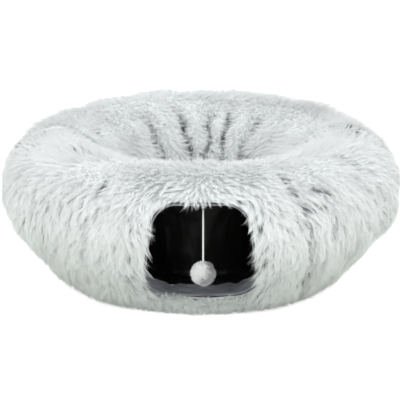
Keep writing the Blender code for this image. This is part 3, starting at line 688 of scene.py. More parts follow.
def cover_points(azimuth, run, side, lift=0.0):
    """Points of the backing's outer face, raised by a length where one is given."""
    radius, height, normal_r, normal_z = on_wall(run)
    flat = in_space(azimuth, radius, height, side)
    depth = backing_depth(flat.reshape(-1, 3), azimuth, run, side) - lift
    return in_space(azimuth, radius - normal_r * depth, height - normal_z * depth, side)


plush_undercoat, shader, tree = finish("plush_undercoat", (0.82, 0.84, 0.84), 0.95, specular=0.1)
knit = add(tree, "ShaderNodeTexVoronoi", {"Vector": cloth_place(tree), "Scale": 620.0}).outputs["Distance"]
knit_tone = ramp(tree, knit, [(0.0, (0.98, 0.98, 0.98)), (0.8, (0.80, 0.80, 0.80))])
shadow = add(tree, "ShaderNodeAttribute", attribute_name="shadow").outputs["Fac"]
# painted shade: the backing turns from near white to near black as its shadow attribute rises
painted_root_shade = ramp(tree, shadow, [
    (0.0, (0.90, 0.92, 0.92)), (0.45, (0.42, 0.44, 0.445)), (1.0, (0.045, 0.05, 0.055)),
])
tree.links.new(mixed(tree, 1.0, painted_root_shade, knit_tone, "MULTIPLY"), shader.inputs["Base Color"])
bump(tree, shader, knit, 0.5, 0.0006)

edge_line = [np.array(p) for p in entrance_outline(0.0, corner_steps=12, side_steps=12)]


def from_opening(points):
    """Distance outwards from the entrance's edge, and the direction across to it, in X and Z."""
    flat = points[:, [0, 2]]
    best = np.full(len(flat), FAR_OFF)
    toward = np.zeros_like(flat)
    inside = np.zeros(len(flat), bool)
    for start, stop in zip(edge_line, edge_line[1:] + edge_line[:1]):
        leg = stop - start
        share = np.clip(((flat - start) @ leg) / (leg @ leg), 0, 1)
        to_edge = start + share[:, None] * leg - flat
        far = np.hypot(to_edge[:, 0], to_edge[:, 1])
        closer = far < best
        best[closer] = far[closer]
        toward[closer] = to_edge[closer]
        crosses = (start[1] > flat[:, 1]) != (stop[1] > flat[:, 1])
        rise = stop[1] - start[1] if abs(stop[1] - start[1]) > 1e-9 else 1e-9
        inside ^= crosses & (flat[:, 0] < (stop[0] - start[0]) * (flat[:, 1] - start[1]) / rise + start[0])
    size = np.maximum(np.hypot(toward[:, 0], toward[:, 1]), 1e-6)
    behind = points[:, 1] > ENTRANCE_FAR_Y
    distance = np.where(inside, -best, best)
    return np.where(behind, 1.0, distance), toward / size[:, None]


def smooth_step(low, high, value):
    share = np.clip((value - low) / (high - low), 0, 1)
    return share * share * (3 - 2 * share)


def wildness(points, run, side):
    """Where the pile is ruffled: round the entrance, over the front crest and down in the well."""
    distance, _ = from_opening(points)
    centred = 1 - smooth_step(0.08, 0.15, np.abs(points[:, 0]))
    wild = 0.04 + 0.50 * smooth_step(0.40, 0.47, run) * centred
    if side < 0:
        by_opening = 1 - smooth_step(0.012, 0.072, np.maximum(distance, 0.0))
        crest = smooth_step(0.27, 0.31, run) * (1 - smooth_step(0.34, 0.38, run))
        wild = wild + 0.65 * by_opening * (1 - 0.75 * smooth_step(0.33, 0.36, run))
        wild = wild + 0.40 * crest * (1 - smooth_step(0.09, 0.16, np.abs(points[:, 0])))
        # ruffled patches to the right of the entrance
        patch = soft_waves(points, 0.10, 23) * smooth_step(0.08, 0.14, points[:, 0])
        wild = wild + 0.30 * np.clip(patch, 0, 1)
    else:
        wild = wild + 0.22 * smooth_step(0.29, 0.35, run) * (1 - smooth_step(0.40, 0.45, run))
    return np.clip(wild, 0, 1)


def pressed(points, run):
    """Where the pile in front of the zips' sliders is brushed flat."""
    return np.exp(-(((run - 0.288) / 0.018) ** 2)) * smooth_step(-0.055, -0.016, points[:, 1])


def every(items, name, width=3):
    """One property of every item in a mesh's list, one row for each."""
    values = np.empty(len(items) * width)
    items.foreach_get(name, values)
    return values.reshape(-1, width)


def new_field(mesh, name, values):
    """Stores a number or a vector for every vertex."""
    values = np.asarray(values, np.float32)
    kind, part = ("FLOAT_VECTOR", "vector") if values.ndim == 2 else ("FLOAT", "value")
    mesh.attributes.new(name, kind, "POINT").data.foreach_set(part, values.ravel())


def cover_grid(start, stop, turns, first, last, ups, side):
    """Azimuths, runs, points and faces of a stretch of a cover."""
    azimuth, run = np.meshgrid(
        np.linspace(start, stop, turns + 1), np.linspace(first, last, ups + 1), indexing="ij"
    )
    points = cover_points(azimuth, run, side).reshape(-1, 3)
    return azimuth, run, points, grid_faces(turns + 1, ups + 1, False, side < 0)


COVER_RUNS = {
    "outer": (BACKING_FLOOR_CLEARANCE, SEAM_RUN),
    "well": (SEAM_RUN, WALL_LENGTH - BACKING_FLOOR_CLEARANCE),
}
for half, side in HALVES:
    for panel, (first, last) in COVER_RUNS.items():
        azimuth, run, points, faces = cover_grid(0, math.pi, COVER_TURNS, first, last, COVER_UPS, side)
        flat_map = np.stack((azimuth * MEAN_RADIUS, run), -1).reshape(-1, 2)
        uv = [flat_map[corner] for face in faces for corner in face]
        cover = new_piece(f"{half}_{panel}_cover", points, faces, plush_undercoat, uv=uv)
        thickened(cover, BACKING_THICKNESS, -1.0)
        if (half, panel) == ("front", "outer"):
            punched(cover, 2 * ENTRANCE_EASE)
        cover.data.shade_smooth()
        # painted shade darkens the backing where the pile parts, in creases, by the seams, where it is
        # pressed and where it is ruffled
        places = every(cover.data.vertices, "co")
        azimuth, run = run_of(places, side)
        azimuth = azimuth if side > 0 else -azimuth
        crease, _, parting, _ = plush_folds(azimuth, run, side)
        dark = np.maximum(parting * smooth_step(*WELL_DEEP, run), 0.8 * smooth_step(0.45, 0.95, crease))
        seam_reach = (0.010, 0.060) if side < 0 else (0.004, 0.018)
        dark = np.maximum(dark, 0.45 * (1 - smooth_step(*seam_reach, np.abs(places[:, 1]))))
        dark = np.maximum(dark, 0.30 * pressed(places, run) * (side < 0))
        dark = np.maximum(dark, 0.34 * wildness(places, run, side))
        new_field(cover.data, "shadow", np.clip(dark, 0, 1))
        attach(cover, f"{half}_half")
        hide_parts(f"{half}_{panel}_plush")

# Long pile
# The plush's pile is about 35 mm long and frosted white; dark tufts paint in shade where it parts. Its tufts
# are combed down outside, round the ring over the crest and down into the well inside.
PILE_HEIGHT = 0.0135
PILE_LEAN = 0.030
STRANDS_PER_TUFT = 12
STRAND_WIDTH = 0.0009
LOOSE_STRANDS = 0.22
LOCK_CLING = 0.35
TUFT_TWIST = math.radians(26)
TUFT_TILT = math.radians(7)
SHORTEST_TUFT = 0.82
LONGEST_TUFT = 1.12
TUFT_SPREAD = 0.0060
TUFT_TIP_SPREAD = 0.0056
EVEN_TUFTS = 5
LOCK_TUFTS = 5
DARK_TUFTS = 3
TUFT_SPACING = 0.0049
PILE_SECTORS = 5
CREST_TURN = math.radians(72)
FLOOR_CLEARANCE = 0.0006
PILE_WIDEST = 0.357
PILE_FOREMOST = 0.352
PILE_TALLEST = 0.269
PILE_GIVE = 0.010
LUMP_SHADING = 1.5
PILE_SOFTNESS = 0.93
WILD_SOFTNESS = 0.55
STRAND_LIGHT_THROUGH = 0.45
DENSEST_TUFTS = 400000.0
PATCH_TURNS = 34
PATCH_UPS = 44
PILE_FIELDS = ("rise", "comb", "pile_share", "dusk", "wild", "off_opening", "facing")

LIGHT_TUFTS = EVEN_TUFTS + LOCK_TUFTS
STRAND_COLUMNS = STRANDS_PER_TUFT * (LIGHT_TUFTS + DARK_TUFTS)
STRAND_RINGS = ((0.0, 1.0), (0.36, 0.94), (0.70, 0.62))


def tuft_mesh(name, kind, height, lean, root_spread, tip_spread, strand_width, rng):
    """One tuft: tapered strands that rise from the backing, bend over and meet near their tips."""
    points, faces, places = [], [], []
    for strand in range(STRANDS_PER_TUFT):
        turn = rng.uniform(0, 2 * math.pi)
        root = Vector((math.cos(turn), math.sin(turn), 0.0)) * root_spread * math.sqrt(rng.uniform())
        loose = rng.uniform() < LOOSE_STRANDS
        spread = tip_spread * (2.0 if loose else 1.0)
        tip = Vector((lean, 0.0, height)) * rng.uniform(0.78, 1.08) + root * 0.3
        tip += Vector(rng.uniform(-spread, spread, 3)) * Vector((1.0, 1.0, 0.5))
        pull = root + Vector((lean * 0.16, 0.0, height * rng.uniform(0.62, 0.86)))
        roll = math.radians(rng.uniform(-50, 50))
        across = Vector((math.sin(roll) * 0.4, math.cos(roll), math.sin(roll) * 0.6)).normalized()
        width = strand_width / 2 * rng.uniform(0.8, 1.15)
        column = (kind * STRANDS_PER_TUFT + strand + 0.5) / STRAND_COLUMNS
        half_column = 0.3 / STRAND_COLUMNS
        first = len(points)
        for share, taper in STRAND_RINGS:
            centre = bezier(root, pull, tip, share)
            points += [centre - across * width * taper, centre + across * width * taper]
        points.append(tip)
        for ring in range(len(STRAND_RINGS) - 1):
            a = first + 2 * ring
            low, high = STRAND_RINGS[ring][0], STRAND_RINGS[ring + 1][0]
            faces.append((a, a + 2, a + 3, a + 1))
            places += [(column - half_column, low), (column - half_column, high)]
            places += [(column + half_column, high), (column + half_column, low)]
        a = first + 2 * (len(STRAND_RINGS) - 1)
        faces.append((a, a + 2, a + 1))
        low = STRAND_RINGS[-1][0]
        places += [(column - half_column, low), (column, 1.0), (column + half_column, low)]
    tuft = new_piece(name, points, faces)
    for layer_name in ("OFBake", "strand_map"):
        layer = tuft.data.uv_layers.new(name=layer_name)
        layer.data.foreach_set("uv", np.asarray(places, np.float32).ravel())
    return tuft


def tuft_collection(
    name, height, lean, seed, spread=TUFT_SPREAD, tip_spread=TUFT_TIP_SPREAD, width=STRAND_WIDTH
):
    """The kinds of tuft that a pile is planted with: even ones, locks and dark ones that paint in shade."""
    rng = np.random.default_rng(seed)
    made = bpy.data.collections.new(name)
    for kind in range(LIGHT_TUFTS + DARK_TUFTS):
        # an even tuft fans out, a lock's strands cling together at the tip
        fan = tip_spread * (1.0 if kind < EVEN_TUFTS else LOCK_CLING)
        tuft = tuft_mesh(f"{name}_{kind:02d}", kind, height, lean, spread, fan, width, rng)
        bpy.context.scene.collection.objects.unlink(tuft)
        made.objects.link(tuft)
    return made


def removed(collection):
    for piece in list(collection.objects):
        mesh = piece.data
        bpy.data.objects.remove(piece, do_unlink=True)
        bpy.data.meshes.remove(mesh)
    bpy.data.collections.remove(collection)


def geometry_tree(name, given, made, settings):
    """A new geometry tree with its sockets, and the outputs of its group input."""
    tree = bpy.data.node_groups.new(name, "GeometryNodeTree")
    tree.interface.new_socket(given, in_out="INPUT", socket_type="NodeSocketGeometry")
    tree.interface.new_socket(made, in_out="OUTPUT", socket_type="NodeSocketGeometry")
    for label, kind, value in settings:
        socket = tree.interface.new_socket(label, in_out="INPUT", socket_type=kind)
        if value is not None:
            socket.default_value = value
    return tree, add(tree, "NodeGroupInput").outputs


def put_out(tree, instances, material):
    """Makes a geometry tree's instances real, gives them their material and puts them out."""
    real = add(tree, "GeometryNodeRealizeInstances", {"Geometry": instances})
    inputs = {"Geometry": real.outputs["Geometry"], "Material": material}
    painted = add(tree, "GeometryNodeSetMaterial", inputs)
    add(tree, "NodeGroupOutput", {0: painted.outputs["Geometry"]})


def socket_identifier(tree, name):
    sockets = [item for item in tree.interface.items_tree if item.in_out == "INPUT"]
    return next(item.identifier for item in sockets if item.name == name)


def named(tree, name, kind="FLOAT"):
    made = add(tree, "GeometryNodeInputNamedAttribute", {"Name": name}, data_type=kind)
    return made.outputs["Attribute"]


def pile_tree(name, collection, material):
    """Sets tufts on a patch of backing, each along its own rise and comb direction."""
    tree, given = geometry_tree(name, "Backing", "Pile", (
        ("Tuft spacing", "NodeSocketFloat", TUFT_SPACING),
        ("Twist", "NodeSocketFloat", TUFT_TWIST),
        ("Tilt", "NodeSocketFloat", TUFT_TILT),
        ("Shortest", "NodeSocketFloat", SHORTEST_TUFT),
        ("Longest", "NodeSocketFloat", LONGEST_TUFT),
        ("Seed", "NodeSocketInt", 1),
    ))

    def chance(kind, low, high, salt):
        inputs = {"Min": low, "Max": high, "Seed": maths(tree, "ADD", given["Seed"], salt)}
        made = add(tree, "FunctionNodeRandomValue", inputs, data_type=kind)
        return next(s for s in made.outputs if s.enabled)

    def either(switch, when_not, when_so):
        inputs = {"Switch": switch, "False": when_not, "True": when_so}
        return add(tree, "GeometryNodeSwitch", inputs, input_type="INT").outputs["Output"]

    scatter = add(tree, "GeometryNodeDistributePointsOnFaces", {
        "Mesh": given["Backing"], "Distance Min": given["Tuft spacing"], "Seed": given["Seed"],
        "Density Max": DENSEST_TUFTS,
    }, distribute_method="POISSON")
    apart = {0: named(tree, "off_opening"), 1: 0.0}
    off_opening = add(tree, "FunctionNodeCompare", apart, operation="GREATER_THAN").outputs[0]

    # where painted shade is asked for, a tuft is one of the dark ones
    shaded = maths(tree, "LESS_THAN", chance("FLOAT", 0.0, 1.0, 11), named(tree, "dusk"))
    clinging = maths(tree, "LESS_THAN", chance("FLOAT", 0.0, 1.0, 18), named(tree, "wild"))
    even = chance("INT", 0, EVEN_TUFTS - 1, 12)
    lock = chance("INT", EVEN_TUFTS, LIGHT_TUFTS - 1, 19)
    dark = chance("INT", LIGHT_TUFTS, LIGHT_TUFTS + DARK_TUFTS - 1, 13)
    which = either(shaded, either(clinging, even, lock), dark)

    turned = add(tree, "FunctionNodeAxesToRotation", {
        "Primary Axis": named(tree, "rise", "FLOAT_VECTOR"),
        "Secondary Axis": named(tree, "comb", "FLOAT_VECTOR"),
    }).outputs["Rotation"]
    for axis, label, salt in (((0, 0, 1), "Twist", 14), ((0, 1, 0), "Tilt", 15), ((1, 0, 0), "Tilt", 16)):
        most = given[label]
        angle = chance("FLOAT", maths(tree, "MULTIPLY", most, -1.0), most, salt)
        by = add(tree, "FunctionNodeAxisAngleToRotation", {"Axis": axis, "Angle": angle})
        inputs = {"Rotation": turned, "Rotate By": by.outputs["Rotation"]}
        turned = add(tree, "FunctionNodeRotateRotation", inputs, rotation_space="LOCAL").outputs["Rotation"]

    length = chance("FLOAT", given["Shortest"], given["Longest"], 17)
    tufts = add(tree, "GeometryNodeCollectionInfo", {
        "Collection": collection, "Separate Children": True, "Reset Children": True,
    })
    plant = add(tree, "GeometryNodeInstanceOnPoints", {
        "Points": scatter.outputs["Points"], "Selection": off_opening,
        "Instance": tufts.outputs["Instances"], "Pick Instance": True, "Instance Index": which,
        "Rotation": turned, "Scale": maths(tree, "MULTIPLY", length, named(tree, "pile_share")),
    })
    put_out(tree, plant.outputs["Instances"], material)
    return tree


frosted_pile, shader, tree = finish("frosted_long_pile", (0.8, 0.82, 0.82), 0.72, specular=0.18)
shader.inputs["Sheen Weight"].default_value = 0.25
shader.inputs["Sheen Roughness"].default_value = 0.5
strand_map = add(tree, "ShaderNodeUVMap", uv_map="strand_map").outputs["UV"]
strand_parts = add(tree, "ShaderNodeSeparateXYZ", {"Vector": strand_map}).outputs
strand_place, way_up = strand_parts["X"], strand_parts["Y"]
light_strand = ramp(tree, way_up, [
    (0.0, (0.84, 0.86, 0.86)), (0.2, (0.91, 0.92, 0.92)), (0.4, (0.95, 0.955, 0.955)),
    (0.8, (0.96, 0.965, 0.96)),
])
# painted shade: the dark tufts are near black at the root and lighter towards the tip
painted_shade_strand = ramp(tree, way_up, [
    (0.0, (0.06, 0.065, 0.07)), (0.5, (0.11, 0.12, 0.125)), (0.75, (0.36, 0.38, 0.385)),
    (1.0, (0.74, 0.76, 0.76)),
])
lock_strand = ramp(tree, way_up, [
    (0.0, (0.50, 0.52, 0.525)), (0.22, (0.74, 0.76, 0.765)), (0.5, (0.93, 0.94, 0.94)),
    (0.8, (0.96, 0.965, 0.965)),
])
column = maths(tree, "FLOOR", maths(tree, "MULTIPLY", strand_place, STRAND_COLUMNS))
strand_chance = add(tree, "ShaderNodeTexWhiteNoise", noise_dimensions="1D")
tree.links.new(column, strand_chance.inputs["W"])
is_dark = maths(tree, "GREATER_THAN", strand_place, LIGHT_TUFTS / (LIGHT_TUFTS + DARK_TUFTS))
is_lock = maths(tree, "GREATER_THAN", strand_place, EVEN_TUFTS / (LIGHT_TUFTS + DARK_TUFTS))
by_tuft = mixed(tree, is_dark, mixed(tree, is_lock, light_strand, lock_strand), painted_shade_strand)
strand_tone = ramp(tree, strand_chance.outputs["Value"], [
    (0.0, (0.78, 0.79, 0.80)), (0.05, (0.95, 0.955, 0.955)), (0.5, (0.985, 0.985, 0.985)), (1.0, (1, 1, 1)),
])
pile_colour = mixed(tree, 1.0, by_tuft, strand_tone, "MULTIPLY")
tree.links.new(pile_colour, shader.inputs["Base Color"])
lit_through(tree, shader, pile_colour, STRAND_LIGHT_THROUGH)


def led(vectors, other, share):
    """Vectors led towards others, each by its own share."""
    return vectors * (1 - share)[:, None] + other * share[:, None]


def pile_lay(points, azimuth, run, side, panel):
    """The pile's rise, comb, length, share of dark tufts of painted shade, wildness, way off the opening and
    facing at some points.
    """
    azimuth, run = azimuth.ravel(), run.ravel()
    _, _, normal_r, normal_z = on_wall(run)
    cos, sin = np.cos(azimuth), side * np.sin(azimuth)
    normal = np.stack((normal_r * cos, normal_r * sin, normal_z), 1)
    upward = np.stack((-normal_z * cos, -normal_z * sin, normal_r), 1)
    around = np.stack((-np.sin(azimuth), side * np.cos(azimuth), 0 * azimuth), 1)
    outward = np.stack((cos, sin, 0 * cos), 1)
    swirl = soft_waves(points, 0.20, 31) + 0.4 * soft_waves(points, 0.06, 32)
    # over the crest the comb turns from down the flank, round the ring, to down the well
    sideways = np.tanh(1.4 * soft_waves(points, 0.28, 36) - 1.2 * cos)
    crease, gather, parting, toward_gather = plush_folds(azimuth, run, side)
    distance, toward = from_opening(points)
    share = np.ones(len(points)) * (1 - 0.45 * crease**3)
    # painted shade: dark tufts along the creases
    dusk = 0.16 * crease**3
    wild = np.clip(wildness(points, run, side) + 0.4 * crease, 0, 1)
    # the zips pull the ring's two ends flatter
    at_ends = smooth_step(0.78, 0.98, np.abs(cos)) * (1 - np.exp(-(((run - 0.215) / 0.09) ** 2)))
    share = share * (1 - 0.20 * at_ends)
    if panel == "outer":
        turn = CREST_TURN * smooth_step(0.26, SEAM_RUN, run)
        round_ring = sideways * np.sin(turn) + 0.35 * swirl - 0.3 * cos
        comb = -upward * np.cos(turn)[:, None] + around * round_ring[:, None]
        stand = smooth_step(0.23, 0.33, run) * (smooth_step(*PAST_EDGE, distance) if side < 0 else 1.0)
        rise = normal - 0.50 * stand[:, None] * comb
        share = share * (1 - 0.30 * stand)
        low = 1 - smooth_step(0.0, 0.07, run)
        comb = led(comb, 0.7 * outward - 0.6 * upward, low)
        share = share * (1 - 0.30 * low)
        if side < 0:
            near = np.maximum(distance, 0.0)
            by_edge = (1 - smooth_step(*PAST_EDGE, near)) * smooth_step(0.046, 0.070, points[:, 2])
            across = np.stack((toward[:, 0], 0 * toward[:, 0], toward[:, 1]), 1)
            along = np.stack((-toward[:, 1], 0 * toward[:, 0], toward[:, 0]), 1)
            along *= np.where(along[:, 0] * np.sign(points[:, 0]) > along[:, 2], 1.0, -1.0)[:, None]
            along += around * (0.30 * soft_waves(points, 0.03, 37))[:, None]
            along += across * (0.95 + 0.80 * np.clip(soft_waves(points, 0.028, 39), -0.6, 1.0))[:, None]
            brushed = 0.85 * by_edge * np.clip(np.abs(points[:, 0]) / 0.045, 0, 1)
            comb = led(comb, along, brushed)
            over = by_edge * (1 - smooth_step(0.050, 0.085, np.abs(points[:, 0])))
            share = share * (1 - 0.12 * by_edge) * (1 - 0.20 * over)
            below = 1 - smooth_step(0.044, 0.060, points[:, 2])
            below = below * (1 - smooth_step(0.10, 0.13, np.abs(points[:, 0])))
            lip = below * (1 - smooth_step(0.004, 0.024, near))
            comb = led(comb, 0.25 * outward - 0.95 * upward, below)
            comb = led(comb, 0.6 * outward + np.array((0.0, 0.0, 1.2)), lip)
            share = share * (1 - 0.20 * below) * (1 - 0.12 * lip)
            wild = np.maximum(wild, 0.60 * below)
            # painted shade: a few dark tufts round the entrance's edge and below it
            dusk = dusk + 0.02 * by_edge + 0.015 * below
    else:
        turn = CREST_TURN * (1 - smooth_step(SEAM_RUN, 0.45, run))
        lean = np.clip(0.9 * toward_gather, -1.0, 1.0)
        round_ring = sideways * np.sin(turn) + 0.3 * swirl + lean
        comb = upward * (0.75 * np.cos(turn))[:, None] + around * round_ring[:, None]
        rise = normal - 0.50 * comb
        share = share * (0.70 - 0.14 * smooth_step(0.50, 0.75, (run - SEAM_RUN) / (WALL_LENGTH - SEAM_RUN)))
        deep = smooth_step(*WELL_DEEP, run)
        share = share * (1 - 0.55 * np.minimum(gather, 1.0) * deep)
        # painted shade: dark tufts in the gathers' partings, more of them deep in the well
        dusk = dusk + 1.3 * deep * parting + 0.05 * smooth_step(0.47, 0.55, run)
    # beside the zips the pile is brushed off the seam here and there, most of all by the sliders
    by_zip = 1 - smooth_step(0.008, 0.030, np.abs(points[:, 1]))
    by_zip = by_zip * (0.40 + 0.60 * smooth_step(-0.4, 0.4, soft_waves(points, 0.08, 38)))
    by_slider = np.zeros(len(points))
    for hand in ("left", "right"):
        for part in ("slider", "pull"):
            low_corner, high_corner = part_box(f"{hand}_zip_{part}")
            apart = np.linalg.norm(points - np.array((low_corner + high_corner) / 2), axis=1)
            by_slider = np.maximum(by_slider, 1 - smooth_step(0.012, 0.030, apart))
    by_zip = np.maximum(by_zip, by_slider)
    # painted shade: dark tufts just behind the zip's seam on the rear half
    seam_stretch = smooth_step(0.25, 0.27, run) * (1 - smooth_step(0.34, 0.37, run))
    behind_seam = np.exp(-(((points[:, 1] - 0.008) / 0.006) ** 2)) * (side > 0)
    dusk = dusk + 0.75 * seam_stretch * behind_seam
    if side < 0:
        share = share * (1 - 0.58 * pressed(points, run))
    comb = led(comb, np.array((0.0, side, 0.0)), 0.9 * by_zip)
    share = share * (1 - 0.45 * by_zip) * (1 - 0.30 * by_slider)
    rise /= np.linalg.norm(rise, axis=1)[:, None]
    comb /= np.maximum(np.linalg.norm(comb, axis=1), 1e-6)[:, None]
    return rise, comb, share, np.clip(dusk, 0, 0.92), wild, np.where(side < 0, distance - 0.001, 1.0), normal


def held_within(value, limit, most):
    """Keeps values under a limit, letting them run past it by most at the very end."""
    over = np.maximum(value - limit, 0.0)
    return np.where(over > 0, limit + most * (1 - np.exp(-over / most)), value)


def planted(patch, tree, seed, spacing=TUFT_SPACING):
    """Grows the pile on a patch and returns the patch as a plain mesh of strands."""
    growth = patch.modifiers.new("pile", "NODES")
    growth.node_group = tree
    growth[socket_identifier(tree, "Seed")] = seed
    growth[socket_identifier(tree, "Tuft spacing")] = spacing
    baked(patch)
    mesh = patch.data
    places = every(mesh.vertices, "co")
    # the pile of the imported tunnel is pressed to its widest, tallest and foremost
    across = np.hypot(places[:, 0], places[:, 1])
    places[:, :2] *= (held_within(across, PILE_WIDEST, PILE_GIVE) / np.maximum(across, 1e-6))[:, None]
    places[:, 1] = -held_within(-places[:, 1], PILE_FOREMOST, PILE_GIVE)
    places[:, 2] = np.maximum(held_within(places[:, 2], PILE_TALLEST, PILE_GIVE), FLOOR_CLEARANCE)
    mesh.vertices.foreach_set("co", places.ravel())
    mesh.update()
    # pile shades as one soft surface, so its normals lean towards that of the backing
    own = every(mesh.vertices, "normal")
    soft = every(mesh.attributes["facing"].data, "vector")
    wild = every(mesh.attributes["wild"].data, "value", 1)
    for label in PILE_FIELDS:
        mesh.attributes.remove(mesh.attributes[label])
    softness = PILE_SOFTNESS + (WILD_SOFTNESS - PILE_SOFTNESS) * wild
    blend = (1 - softness) * own + softness * soft
    blend /= np.maximum(np.linalg.norm(blend, axis=1), 1e-6)[:, None]
    mesh.normals_split_custom_set_from_vertices(blend)
    return patch


def patch_with(name, points, faces, lay):
    """A patch of backing that carries the lay of its pile."""
    *fields, facing = lay
    patch = new_piece(name, points, faces)
    # the pile shades with the lumps and folds under it
    bumpy = every(patch.data.vertices, "normal")
    facing = facing + LUMP_SHADING * bumpy * np.sign((bumpy * facing).sum(1))[:, None]
    facing = facing / np.linalg.norm(facing, axis=1)[:, None]
    for label, values in zip(PILE_FIELDS, (*fields, facing)):
        new_field(patch.data, label, values)
    return patch


long_tufts = tuft_collection("long_pile_tuft", PILE_HEIGHT, PILE_LEAN, 41)
long_pile = pile_tree("long_pile", long_tufts, frosted_pile)
for half, side in HALVES:
    for panel, (first, last) in COVER_RUNS.items():
        sectors = PILE_SECTORS if panel == "outer" else PILE_SECTORS - 2
        for sector in range(sectors):
            start, stop = math.pi * sector / sectors, math.pi * (sector + 1) / sectors
            azimuth, run, points, faces = cover_grid(start, stop, PATCH_TURNS, first, last, PATCH_UPS, side)
            lay = pile_lay(points, azimuth, run, side, panel)
            patch = patch_with(f"{half}_{panel}_pile_{sector + 1}", points, faces, lay)
            planted(patch, long_pile, 100 + 10 * sector + (side > 0) + 5 * (panel == "well"))
            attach(patch, f"{half}_half")
            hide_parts(f"{half}_{panel}_plush")
removed(long_tufts)

# Base pads
# A flat half-ring pad of woven black polyester, filled with thin foam, lies under each half of the
# tunnel. Its two covers are sewn together round the edge, and it is sewn in along both feet.
PAD_INNER = 0.1085
PAD_OUTER = 0.2300
PAD_THICKNESS = 0.0150
PAD_SEAM_DIAMETER = 0.0022
PAD_INSET = 0.0006
PAD_TURNS = 72
PAD_SIDES = 36
PAD_SEAM_STEPS = 96

black_weave, shader, tree = finish("black_woven_polyester", (0.03, 0.03, 0.032), 0.8, specular=0.2)
crossing = maths(tree, "MULTIPLY", *(stripes(tree, own_place(tree), 210.0, way) for way in ("X", "Y")))
toned(tree, shader, crossing, [(0.1, (0.016, 0.016, 0.018)), (0.7, (0.045, 0.045, 0.048))])
bump(tree, shader, crossing, 0.5, 0.0005)


def swept(path, radius, sides, closed, frames=None):
    """Points and quads of a round bar along a path of vectors, with its ends closed."""
    points, faces, count = [], [], len(path)
    for k, centre in enumerate(path):
        before = path[k - 1] if (k or closed) else path[0]
        after = path[(k + 1) % count] if (k + 1 < count or closed) else path[k]
        along = (after - before).normalized()
        across = frames[k] if frames else along.cross(Vector((0, 0, 1)))
        if across.length < 1e-4:
            across = Vector((1, 0, 0))
        across = (across - along * across.dot(along)).normalized()
        up = across.cross(along)
        for j in range(sides):
            turn = 2 * math.pi * j / sides
            points.append(centre + radius * (across * math.cos(turn) + up * math.sin(turn)))
    for k in range(count if closed else count - 1):
        for j in range(sides):
            a, b = k * sides + j, k * sides + (j + 1) % sides
            c, d = ((k + 1) % count) * sides + (j + 1) % sides, ((k + 1) % count) * sides + j
            faces.append((a, b, c, d))
    if not closed:
        faces += [tuple(range(sides))[::-1], tuple(range((count - 1) * sides, count * sides))]
    return points, faces


pad_middle = (PAD_INNER + PAD_OUTER) / 2
pad_half = (PAD_OUTER - PAD_INNER) / 2
for half, side in HALVES:
    points = []
    for row in range(PAD_TURNS + 1):
        azimuth = math.pi * row / PAD_TURNS
        from_end = min(row, PAD_TURNS - row)
        # the ends of the half ring are rounded off like the pad's long edges
        plump = 0.35 + 0.65 * math.sin(math.radians(90) * min(1.0, (from_end + 0.3) / 2.2))
        for j in range(PAD_SIDES):
            turn = 2 * math.pi * j / PAD_SIDES
            out = math.copysign(abs(math.cos(turn)) ** 0.35, math.cos(turn))
            out = out * pad_half * (0.985 + 0.015 * plump)
            lift = math.copysign(abs(math.sin(turn)) ** 0.75, math.sin(turn))
            height = PAD_THICKNESS * (0.5 + 0.5 * lift * plump * (1.0 if lift > 0 else 0.94))
            dimple = 0.0006 * math.sin(18 * azimuth) * max(0.0, lift)
            radius = pad_middle + out
            y = side * (HALF_AXIS + PAD_INSET + radius * math.sin(azimuth))
            points.append((radius * math.cos(azimuth), y, height + dimple))
    faces = grid_faces(PAD_TURNS + 1, PAD_SIDES, True, False)
    faces += [tuple(range(PAD_SIDES)), tuple(range(PAD_TURNS * PAD_SIDES, (PAD_TURNS + 1) * PAD_SIDES))]
    pad = outward(new_piece(f"{half}_base_pad_cushion", points, faces, black_weave))
    pad.data.set_sharp_from_angle(angle=math.radians(70))
    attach(pad, f"{half}_half")
    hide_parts(f"{half}_base_pad")
    for label, radius in (("outer", PAD_OUTER - PAD_INSET), ("inner", PAD_INNER + PAD_INSET)):
        path = []
        for row in range(PAD_SEAM_STEPS + 1):
            azimuth = math.radians(2) + math.radians(176) * row / PAD_SEAM_STEPS
            y = side * (HALF_AXIS + radius * math.sin(azimuth))
            path.append(Vector((radius * math.cos(azimuth), y, PAD_THICKNESS / 2)))
        points, faces = swept(path, PAD_SEAM_DIAMETER / 2, 8, False)
        seam = outward(new_piece(f"{half}_base_pad_{label}_seam", points, faces, black_weave))
        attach(seam, f"{half}_half")
        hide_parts(f"{half}_base_pad")

# Entrance facing
# A lilac-grey polyester band, 58 mm wide, faces the round of the entrance. It is sewn to the plush
# with a corded hem at the front and runs back into the tunnel, held out by the entrance hoop.
FACING_WIDTH = 0.058
FACING_RECESS = 0.004
FACING_THICKNESS = 0.0008
HEM_DIAMETER = 0.0030
HEM_INSET = 0.0016
FACING_WRINKLE = 0.0013
FACING_STITCH_PITCH = 0.0042
FACING_STITCH_LENGTH = 0.0030
FACING_STITCH_DIAMETER = 0.0008
FACING_STITCH_SETBACK = 0.0062
FACING_STITCH_LIFT = 0.0001
STITCH_STEPS = 4
FACING_ROWS = 26
FACING_INSET = 0.0004
FACING_START = 0.0006
FACING_OVERLAP = 0.0012
FRONT_WALL_TOP_ANGLE = math.radians(80)
HEM_SIDES = 12

front_top_run = float(wall_run[FLANK_STEPS] + ROLL_RADIUS * (FLANK_ANGLE + FRONT_WALL_TOP_ANGLE))
flank_runs = np.linspace(0.002, front_top_run, 160)


def front_y(x, z, depth):
    """The y of the front wall at a place and a depth under the outline."""
    radius, height, normal_r, normal_z = on_wall(flank_runs)
    reached = float(np.interp(z, height - normal_z * depth, radius - normal_r * depth))
    return -HALF_AXIS - math.sqrt(max(reached * reached - x * x, 0.0))


